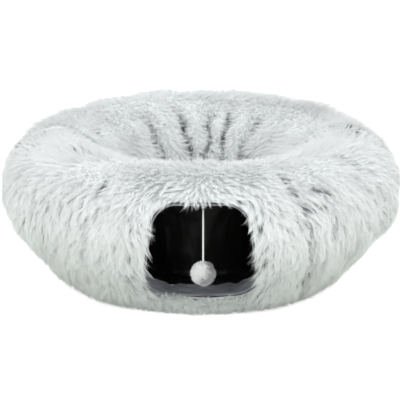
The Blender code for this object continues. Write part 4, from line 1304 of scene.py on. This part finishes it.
facing_line = [Vector(p) for p in entrance_outline(-FACING_OVERLAP, corner_steps=14, side_steps=16)]
facing_count = len(facing_line)
facing_inward = []
for k, point in enumerate(facing_line):
    along = facing_line[(k + 1) % facing_count] - facing_line[k - 1]
    square = Vector((along.y, -along.x)).normalized()
    middle = Vector((0.0, ENTRANCE_MIDDLE_HEIGHT))
    facing_inward.append(square if square.dot(middle - point) > 0 else -square)
facing_steps = [0.0]
for k in range(facing_count):
    facing_steps.append(facing_steps[-1] + (facing_line[(k + 1) % facing_count] - facing_line[k]).length)
facing_round = facing_steps[-1]


def facing_point(k, back, inset):
    """A point of the band at a station of the outline, so far back from the front and so far inwards."""
    point = facing_line[k] + facing_inward[k] * inset
    return Vector((point.x, front_y(facing_line[k].x, facing_line[k].y, FACING_RECESS) + back, point.y))


lilac_grey, shader, tree = finish("lilac_grey_polyester", (0.24, 0.25, 0.285), 0.55, specular=0.35)
shader.inputs["Sheen Weight"].default_value = 0.2
stretched = add(tree, "ShaderNodeMapping", {"Vector": cloth_place(tree), "Scale": (26.0, 620.0, 1.0)})
fine_lines = grain(tree, stretched.outputs["Vector"], 1.0, 4.0)
toned(tree, shader, fine_lines, [
    (0.34, (0.075, 0.078, 0.092)), (0.50, (0.16, 0.166, 0.188)), (0.66, (0.34, 0.35, 0.38)),
])
bump(tree, shader, fine_lines, 0.5, 0.0012)


def closes_round(face, index, count):
    """Whether a corner at the start of a closed row belongs to the face that closes it."""
    return index == 0 and any(other % count == count - 1 for other in face)


band_points = np.empty((FACING_ROWS + 1, facing_count, 3))
for row in range(FACING_ROWS + 1):
    share = row / FACING_ROWS
    for k in range(facing_count):
        along = facing_steps[k] / facing_round * 2 * math.pi
        at_bottom = max(0.0, facing_inward[k].y)
        # the loose inner edge at the bottom is cut and gathered unevenly
        drawn_up = at_bottom * (0.13 + 0.10 * math.sin(17 * along + 0.6) + 0.05 * math.sin(29 * along))
        back = FACING_START + (FACING_WIDTH - FACING_START) * share * (1 - drawn_up)
        sway = 1.6 * math.sin(3 * along) + 0.8 * math.sin(7 * along + 1.0)
        ripple = 0.5 + 0.5 * math.sin(2 * math.pi * share * 6.5 + sway)
        slack = 0.0030 * at_bottom * share**2 * (0.5 + 0.5 * math.sin(9 * along + 0.7))
        swell = math.sin(math.radians(90) * min(1.0, 6 * share))
        inset = FACING_INSET + FACING_WRINKLE * ripple * swell + slack
        band_points[row, k] = facing_point(k, back, inset)
faces = grid_faces(FACING_ROWS + 1, facing_count, True, False)
places = []
for face in faces:
    for corner in face:
        row, k = divmod(corner, facing_count)
        wrapped = facing_round * closes_round(face, k, facing_count)
        places.append((facing_steps[k] + wrapped, FACING_WIDTH * row / FACING_ROWS))
facing_band = new_piece("entrance_facing_band", band_points.reshape(-1, 3), faces, lilac_grey, uv=places)
inner_check = facing_band.data.polygons[facing_count * 4]
toward_middle = Vector((0.0, inner_check.center.y, ENTRANCE_MIDDLE_HEIGHT)) - inner_check.center
if inner_check.normal.dot(toward_middle) < 0:
    facing_band.data.flip_normals()
thickened(facing_band, FACING_THICKNESS, 1.0)
facing_band.data.shade_smooth()

hem_path = [facing_point(k, HEM_DIAMETER / 2 - FACING_START, HEM_INSET) for k in range(facing_count)]
hem_frames = [Vector((facing_inward[k].x, 0.0, facing_inward[k].y)) for k in range(facing_count)]
points, faces = swept(hem_path, HEM_DIAMETER / 2, HEM_SIDES, True, hem_frames)
hem_places = []
for face in faces:
    stations = [corner // HEM_SIDES for corner in face]
    for corner in face:
        k, j = divmod(corner, HEM_SIDES)
        wrapped = facing_round * closes_round(stations, k, facing_count)
        turned = closes_round(face, j, HEM_SIDES)
        hem_places.append((facing_steps[k] + wrapped, (j / HEM_SIDES + turned) * 0.013))
facing_hem = outward(new_piece("entrance_facing_hem", points, faces, lilac_grey, uv=hem_places))


def stitch_tree(name, material):
    """Runs stitches along a line of points, evenly spaced, each turned along the line."""
    tree, given = geometry_tree(name, "Seam line", "Stitches", (
        ("Pitch", "NodeSocketFloat", 0.004), ("Stitch", "NodeSocketObject", None),
    ))
    line = add(tree, "GeometryNodeMeshToCurve", {"Mesh": given["Seam line"]}).outputs["Curve"]
    inputs = {"Curve": line, "Length": given["Pitch"]}
    spaced = add(tree, "GeometryNodeCurveToPoints", inputs, mode="LENGTH").outputs
    stitch = add(tree, "GeometryNodeObjectInfo", {"Object": given["Stitch"]})
    axes = {"Primary Axis": spaced["Tangent"], "Secondary Axis": named(tree, "off_cloth", "FLOAT_VECTOR")}
    aim = add(tree, "FunctionNodeAxesToRotation", axes, primary_axis="X", secondary_axis="Z")
    plant = add(tree, "GeometryNodeInstanceOnPoints", {
        "Points": spaced["Points"], "Instance": stitch.outputs["Geometry"],
        "Rotation": aim.outputs["Rotation"],
    })
    put_out(tree, plant.outputs["Instances"], material)
    return tree


def run_along(name, path, off_cloth, closed, tree, item, pitch):
    """A row of small like items along a path, as one plain mesh."""
    mesh = bpy.data.meshes.new(name)
    count = len(path)
    edges = [(k, (k + 1) % count) for k in range(count if closed else count - 1)]
    mesh.from_pydata([tuple(p) for p in path], edges, [])
    new_field(mesh, "off_cloth", [tuple(v) for v in off_cloth])
    row = bpy.data.objects.new(name, mesh)
    bpy.context.scene.collection.objects.link(row)
    growth = row.modifiers.new("row", "NODES")
    growth.node_group = tree
    growth[socket_identifier(tree, "Pitch")] = pitch
    growth[socket_identifier(tree, "Stitch")] = item
    baked(row)
    if "off_cloth" in row.data.attributes:
        row.data.attributes.remove(row.data.attributes["off_cloth"])
    bpy.data.objects.remove(item, do_unlink=True)
    return row


stitch_length, stitch_radius = FACING_STITCH_LENGTH, FACING_STITCH_DIAMETER / 2
stitch_path = []
for k in range(STITCH_STEPS + 1):
    rise = stitch_radius * (1.3 * math.sin(math.pi * k / STITCH_STEPS) - 0.6)
    stitch_path.append(Vector((stitch_length * (k / STITCH_STEPS - 0.5), 0.0, rise)))
points, faces = swept(stitch_path, stitch_radius, 5, False, [Vector((0, 1, 0))] * (STITCH_STEPS + 1))
stitch = outward(new_piece("facing_stitch", points, faces))
grey_thread, shader, tree = finish("grey_sewing_thread", (0.34, 0.35, 0.38), 0.6, specular=0.3)
thread_twist = grain(tree, own_place(tree), 1800.0)
toned(tree, shader, thread_twist, [(0.3, (0.22, 0.23, 0.26)), (0.7, (0.42, 0.43, 0.46))])
stitches = stitch_tree("row_of_stitches", grey_thread)
stitch_row = round(FACING_STITCH_SETBACK / FACING_WIDTH * FACING_ROWS)
path = []
for k in range(facing_count):
    lifted = Vector((facing_inward[k].x, 0, facing_inward[k].y)) * (FACING_THICKNESS + FACING_STITCH_LIFT)
    path.append(Vector(band_points[stitch_row, k]) + lifted)
facing_stitches = run_along(
    "entrance_facing_stitches", path, hem_frames, True, stitches, stitch, FACING_STITCH_PITCH
)
for piece in (facing_band, facing_hem, facing_stitches):
    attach(piece, "front_half")
    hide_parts("entrance_facing")

# Zips
# Two open-ended coil zips join the halves, one on each side. Each has a woven tape sewn along the
# cover's edge and nylon coils that face each other across the seam; box, pin and stops are zinc.
TAPE_DEPTH = 0.0092
TAPE_THICKNESS = 0.0012
TAPE_NEAR = 0.0027
TAPE_FAR = 0.0067
COIL_NEAR = 0.0006
COIL_FAR = 0.0024
COIL_HEIGHT = 0.0024
COIL_DEPTH = 0.0080
COIL_PITCH = 0.0018
COIL_WIRE_RADIUS = 0.00034
COIL_LOOP_STEPS = 4
ZIP_FOOT_CLEARANCE = 0.030
ZIP_WELL_CLEARANCE = 0.045
ZIP_STEPS = 150

tape_weave, shader, tree = finish("charcoal_zip_tape", (0.05, 0.052, 0.055), 0.8, specular=0.2)
herringbone = stripes(tree, cloth_place(tree), 260.0, "DIAGONAL")
toned(tree, shader, herringbone, [(0.2, (0.028, 0.029, 0.031)), (0.8, (0.085, 0.088, 0.092))])
bump(tree, shader, herringbone, 0.5, 0.0004)

nylon_coil, shader, tree = finish("charcoal_nylon_coil", (0.05, 0.052, 0.056), 0.35, specular=0.5)
rubbed = grain(tree, own_place(tree), 300.0)
toned(tree, shader, rubbed, [(0.35, (0.035, 0.036, 0.039)), (0.75, (0.085, 0.088, 0.094))])
toned(tree, shader, rubbed, [(0.35, (0.28, 0.28, 0.28)), (0.75, (0.5, 0.5, 0.5))], "Roughness")
coil_row = stitch_tree("row_of_coil_loops", nylon_coil)

zip_runs = np.linspace(ZIP_FOOT_CLEARANCE, WALL_LENGTH - ZIP_WELL_CLEARANCE, ZIP_STEPS)
zip_r, zip_z, zip_nr, zip_nz = on_wall(zip_runs)


def zip_line(across_x, y, depth):
    """A line at one of the ring's ends, along the outline at a depth under it."""
    return [
        Vector((across_x * (r - nr * depth), y, z - nz * depth))
        for r, z, nr, nz in zip(zip_r, zip_z, zip_nr, zip_nz)
    ]


TAPE_BACK = TAPE_DEPTH + TAPE_THICKNESS
TAPE_BEVEL = 0.0002
TAPE_SECTION = (
    (TAPE_NEAR, TAPE_DEPTH + TAPE_BEVEL), (TAPE_NEAR + TAPE_BEVEL, TAPE_DEPTH),
    (TAPE_FAR - TAPE_BEVEL, TAPE_DEPTH), (TAPE_FAR, TAPE_DEPTH + TAPE_BEVEL),
    (TAPE_FAR, TAPE_BACK), (TAPE_NEAR, TAPE_BACK),
)
TAPE_SIDES = len(TAPE_SECTION)
for half, side in HALVES:
    for hand, across_x in (("right", 1), ("left", -1)):
        corners = [zip_line(across_x, side * y, depth) for y, depth in TAPE_SECTION]
        points = [corners[j][k] for k in range(ZIP_STEPS) for j in range(TAPE_SIDES)]
        faces = grid_faces(ZIP_STEPS, TAPE_SIDES, True, False)
        faces += [tuple(range(TAPE_SIDES)), tuple(range(len(points) - TAPE_SIDES, len(points)))]
        tape_map = [(abs(point.y), float(zip_runs[k // TAPE_SIDES])) for k, point in enumerate(points)]
        places = [tape_map[corner] for face in faces for corner in face]
        tape = outward(new_piece(f"{half}_{hand}_tape_weave", points, faces, tape_weave, uv=places))
        tape.data.set_sharp_from_angle(angle=math.radians(40))
        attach(tape, f"{half}_half")
        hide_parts(f"{half}_{hand}_zip_tape")

        reach, rise_half = (COIL_FAR - COIL_NEAR) / 2, COIL_HEIGHT / 2
        loop_path = []
        for k in range(COIL_LOOP_STEPS + 1):
            turn = math.pi * (0.5 + k / COIL_LOOP_STEPS)
            bend = Vector((0.0, reach * 0.98 * math.cos(turn), (rise_half - 0.00036) * math.sin(turn)))
            loop_path.append(Vector((0.0, bend.y + reach * 0.02 + 0.0002, bend.z)))
        frames = [Vector((1, 0, 0))] * len(loop_path)
        points, faces = swept(loop_path, COIL_WIRE_RADIUS, 4, False, frames)
        loop = outward(new_piece("coil_loop", points, faces))
        middle_y = side * (COIL_NEAR + COIL_FAR) / 2
        line = zip_line(across_x, middle_y, COIL_DEPTH + COIL_HEIGHT / 2)
        off = [Vector((across_x * nr, 0.0, nz)) for nr, nz in zip(zip_nr, zip_nz)]
        if side * across_x > 0:
            line, off = line[::-1], off[::-1]
        coil = run_along(f"{half}_{hand}_coil_loops", line, off, False, coil_row, loop, COIL_PITCH)
        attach(coil, f"{half}_half")
        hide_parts(f"{half}_{hand}_zip_coil")

dark_zinc, shader, tree = finish("dark_plated_zinc", (0.10, 0.10, 0.11), 0.38, metallic=0.9)
marks = grain(tree, own_place(tree), 420.0, 5.0)
wear = maths(tree, "MULTIPLY", add(tree, "ShaderNodeNewGeometry").outputs["Pointiness"], marks)
toned(tree, shader, wear, [
    (0.22, (0.055, 0.056, 0.062)), (0.34, (0.16, 0.16, 0.17)), (0.5, (0.42, 0.42, 0.43)),
])
toned(tree, shader, marks, [(0.35, (0.30, 0.30, 0.30)), (0.70, (0.52, 0.52, 0.52))], "Roughness")
for node_name, node in frame["nodes"].items():
    if node_name.endswith(("_zip_stop", "_zip_box", "_zip_pin", "_zip_slider", "_zip_pull")):
        node.data.materials.clear()
        node.data.materials.append(dark_zinc)

# Toy tab, knot and pompom
# A folded ribbon sewn under the entrance's top edge holds the toy. The cord is knotted through it,
# and a ball of white wool, tied round the middle and clipped, hides the cord's lower end.
RIBBON_THICKNESS = 0.0007
KNOT_CORD_RADIUS = 0.00125
POMPOM_CORE_DIAMETER = 0.0325
WOOL_LENGTH = 0.0050
WOOL_SPACING = 0.0019
WOOL_TUFT_SPREAD = 0.0020
WOOL_TIP_SPREAD = 0.0018
WOOL_STRAND_WIDTH = 0.0006
WOOL_LIGHT_THROUGH = 0.06
KNOT_STEPS = 90
KNOT_SIDES = 10

tab_low, tab_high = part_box("toy_tab")
tab_middle_y = (tab_low.y + tab_high.y) / 2
fold_radius = (tab_high.y - tab_low.y) / 2
tab_profile = [(fold_radius, tab_high.z), (fold_radius, tab_low.z + fold_radius)]
for k in range(1, 7):
    turn = math.radians(-30 * k)
    tab_profile.append((fold_radius * math.cos(turn), tab_low.z + fold_radius + fold_radius * math.sin(turn)))
tab_profile.append((-fold_radius, tab_high.z))
ribbon_steps = 16
points, places = [], []
for k in range(ribbon_steps + 1):
    x = tab_low.x + (tab_high.x - tab_low.x) * k / ribbon_steps
    edge = 0.06 * fold_radius * math.cos(math.pi * k)
    points += [(x, tab_middle_y + y * 0.97 + edge * 0.3, z) for y, z in tab_profile]
faces = grid_faces(ribbon_steps + 1, len(tab_profile), False, False)
profile_runs = np.concatenate(([0], np.cumsum(np.hypot(*np.diff(np.array(tab_profile), axis=0).T))))
for face in faces:
    for corner in face:
        k, j = divmod(corner, len(tab_profile))
        places.append((points[corner][0], float(profile_runs[j])))
white_ribbon, shader, tree = finish("white_grosgrain_ribbon", (0.82, 0.82, 0.80), 0.7, specular=0.25)
ribs = stripes(tree, cloth_place(tree), 330.0, "Y")
toned(tree, shader, ribs, [(0.1, (0.60, 0.60, 0.58)), (0.7, (0.86, 0.86, 0.84))])
bump(tree, shader, ribs, 0.5, 0.0003)
toy_ribbon = new_piece("toy_tab_ribbon", points, faces, white_ribbon, uv=places)
lowest = min(toy_ribbon.data.polygons, key=lambda face: face.center.z)
if lowest.normal.z > 0:
    toy_ribbon.data.flip_normals()
thickened(toy_ribbon, RIBBON_THICKNESS, -1.0)
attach(toy_ribbon, "front_half")
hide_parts("toy_tab")

knot_reach = (knot_high.x - knot_low.x) / 2 - KNOT_CORD_RADIUS * 1.02
knot_path = []
for k in range(KNOT_STEPS):
    turn = 2 * math.pi * k / KNOT_STEPS
    wide = (2 + math.cos(3 * turn)) / 3
    knot_path.append(knot_middle + knot_reach * Vector((
        wide * math.cos(2 * turn), 0.72 * math.sin(3 * turn), wide * math.sin(2 * turn)
    )))
points, faces = swept(knot_path, KNOT_CORD_RADIUS, KNOT_SIDES, True)
places = []
for face in faces:
    for corner in face:
        k, j = divmod(corner, KNOT_SIDES)
        places.append((j / KNOT_SIDES, k / 9))
toy_knot = outward(new_piece("toy_knot_turns", points, faces, cord_finish, uv=places))
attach(toy_knot, "toy_swing")
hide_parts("toy_knot")

pompom_low, pompom_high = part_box("pompom")
pompom_middle = (pompom_low + pompom_high) / 2
white_wool, shader, tree = finish("white_wool", (0.93, 0.93, 0.91), 0.9, specular=0.1)
shader.inputs["Sheen Weight"].default_value = 1.0
fluff = grain(tree, own_place(tree), 240.0, 4.0)
wool_colour = toned(tree, shader, fluff, [(0.3, (0.96, 0.965, 0.96)), (0.65, (0.99, 0.99, 0.985))])
bump(tree, shader, fluff, 0.4, 0.0006)
lit_through(tree, shader, wool_colour, WOOL_LIGHT_THROUGH)

shape = bmesh.new()
bmesh.ops.create_icosphere(shape, subdivisions=4, radius=POMPOM_CORE_DIAMETER / 2)
core_points = np.array([v.co[:] for v in shape.verts])
core_faces = [[v.index for v in face.verts] for face in shape.faces]
shape.free()
core_out = core_points / np.linalg.norm(core_points, axis=1)[:, None]
core_points = core_points * (1 + 0.02 * soft_waves(core_points, 0.012, 51))[:, None] + np.array(pompom_middle)
pompom_core = new_piece("pompom_core", core_points, core_faces, white_wool)
comb = np.cross(core_out, np.array((0.3, 0.4, 0.86)))
even = np.ones(len(core_out))
lay = (core_out, comb, 1 + 0.14 * soft_waves(core_points, 0.009, 52), 0 * even, 0 * even, even, core_out)
pompom_wool = patch_with("pompom_wool", core_points, core_faces, lay)
wool_tufts = tuft_collection(
    "wool_tuft", WOOL_LENGTH, WOOL_LENGTH * 0.25, 53, WOOL_TUFT_SPREAD, WOOL_TIP_SPREAD, WOOL_STRAND_WIDTH
)
wool_pile = pile_tree("wool_ball", wool_tufts, white_wool)
planted(pompom_wool, wool_pile, 54, spacing=WOOL_SPACING)
removed(wool_tufts)
for piece in (pompom_core, pompom_wool):
    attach(piece, "toy")
    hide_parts("pompom")

# Centre mat
# A loose round cushion fills the well's floor: plush on top and at the side, plain woven cloth
# below, filled with polyester fibre. It lies on the floor and lifts out for washing.
MAT_SIDE_GAP = 0.0032
MAT_TOP_GAP = 0.0020
MAT_SLACK = 0.006
MAT_PRESSURE = 4.0
MAT_VOXEL = 0.005
MAT_MOST_SWELL = 0.006
MAT_PILE_SHARE = 0.62
MAT_TURNS = 72
MAT_FLAT_BELOW = 0.0035
MAT_FLOOR_GAP = 0.0004
MAT_PILE_FROM = 0.006
MAT_SWELL_FRAMES = 20

mat_low, mat_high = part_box("centre_mat")
mat_radius = (mat_high.x - mat_low.x) / 2 - MAT_SIDE_GAP - MAT_SLACK
mat_height = mat_high.z - MAT_TOP_GAP - MAT_SLACK


def mat_profile(steps):
    """The cushion's half section, from the middle of the underside round to the middle of the top."""
    section = [(0.0, 0.0), (mat_radius * 0.5, 0.0), (mat_radius * 0.93, 0.0005)]
    for k in range(steps + 1):
        angle = math.radians(-70 + 160 * k / steps)
        out = mat_radius * 0.90 + mat_radius * 0.10 * math.cos(angle)
        section.append((out, mat_height * (0.44 + 0.44 * math.sin(angle))))
    section += [(mat_radius * 0.62, mat_height * 0.955), (mat_radius * 0.3, mat_height * 0.99)]
    return section + [(0.0, mat_height)]


section = mat_profile(8)
points = [(0.0, 0.0, 0.0), (0.0, 0.0, section[-1][1])]
for k in range(MAT_TURNS):
    turn = 2 * math.pi * k / MAT_TURNS
    points += [(r * math.cos(turn), r * math.sin(turn), z) for r, z in section[1:-1]]
ring = len(section) - 2
faces = []
for k in range(MAT_TURNS):
    here, after = 2 + k * ring, 2 + ((k + 1) % MAT_TURNS) * ring
    faces.append((0, after, here))
    faces += [(here + j, after + j, after + j + 1, here + j + 1) for j in range(ring - 1)]
    faces.append((1, here + ring - 1, after + ring - 1))
mat_body = outward(new_piece("centre_mat_cushion", points, faces, black_weave))


def set_places(piece, places):
    piece.data.vertices.foreach_set("co", np.asarray(places, np.float32).ravel())
    piece.data.update()


def blown_up(piece, voxel, pressure, most):
    """Swells a slack cushion with air in a cloth simulation, no point moving further than most."""
    even = piece.modifiers.new("even_cloth", "REMESH")
    even.mode = "VOXEL"
    even.voxel_size = voxel
    baked(piece)
    before = every(piece.data.vertices, "co")
    air = piece.modifiers.new("air", "CLOTH")
    air.settings.use_pressure = True
    air.settings.uniform_pressure_force = pressure
    air.settings.effector_weights.gravity = 0
    for step in range(1, MAT_SWELL_FRAMES + 1):
        bpy.context.scene.frame_set(step)
    baked(piece)
    bpy.context.scene.frame_set(1)
    moved = every(piece.data.vertices, "co") - before
    far = np.linalg.norm(moved, axis=1)
    set_places(piece, before + moved * np.minimum(1.0, most / np.maximum(far, 1e-9))[:, None])
    return piece


blown_up(mat_body, MAT_VOXEL, MAT_PRESSURE, MAT_MOST_SWELL)
places = every(mat_body.data.vertices, "co")
across = np.hypot(places[:, 0], places[:, 1])
most_across = (mat_high.x - mat_low.x) / 2 - MAT_SIDE_GAP
places[:, :2] *= np.minimum(1.0, most_across / np.maximum(across, 1e-9))[:, None]
# the cushion rests flat on the floor
pressed_down = np.minimum(places[:, 2], mat_high.z - MAT_TOP_GAP)
places[:, 2] = np.where(places[:, 2] < MAT_FLAT_BELOW, MAT_FLOOR_GAP, pressed_down)
set_places(mat_body, places)
smoother = mat_body.modifiers.new("smooth_cloth", "SUBSURF")
smoother.levels = smoother.render_levels = 1
baked(mat_body)
mat_body.data.shade_smooth()

shape = bmesh.new()
shape.from_mesh(mat_body.data)
bmesh.ops.delete(shape, geom=[v for v in shape.verts if v.co.z < MAT_PILE_FROM], context="VERTS")
shape.normal_update()
mat_points = np.array([v.co[:] for v in shape.verts])
mat_out = np.array([v.normal[:] for v in shape.verts])
shape.verts.index_update()
mat_faces = [[v.index for v in face.verts] for face in shape.faces]
shape.free()
whirl = np.stack((-mat_points[:, 1], mat_points[:, 0], 0 * mat_points[:, 0]), 1) * 6
whirl += mat_points * (6.0, 6.0, 0.0) + soft_waves(mat_points, 0.06, 61)[:, None] * np.array((0.5, 0.2, 0.0))
steep = 1 - smooth_step(0.5, 0.9, mat_out[:, 2])
whirl = whirl * (1 - steep)[:, None] + np.array((0.0, 0.0, -1.0)) * steep[:, None]
mat_share = MAT_PILE_SHARE * (1 - 0.55 * steep)
one = np.ones(len(mat_points))
# a few dark tufts of painted shade all over the mat
mat_lay = (mat_out, whirl, mat_share, 0.02 * one, 0.3 * one, one, mat_out)
mat_pile = patch_with("centre_mat_pile", mat_points, mat_faces, mat_lay)
mat_tufts = tuft_collection("mat_pile_tuft", PILE_HEIGHT, PILE_LEAN, 62)
mat_growth = pile_tree("mat_pile", mat_tufts, frosted_pile)
planted(mat_pile, mat_growth, 63)
removed(mat_tufts)
for piece in (mat_body, mat_pile):
    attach(piece, "centre_mat")
    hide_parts("centre_mat")
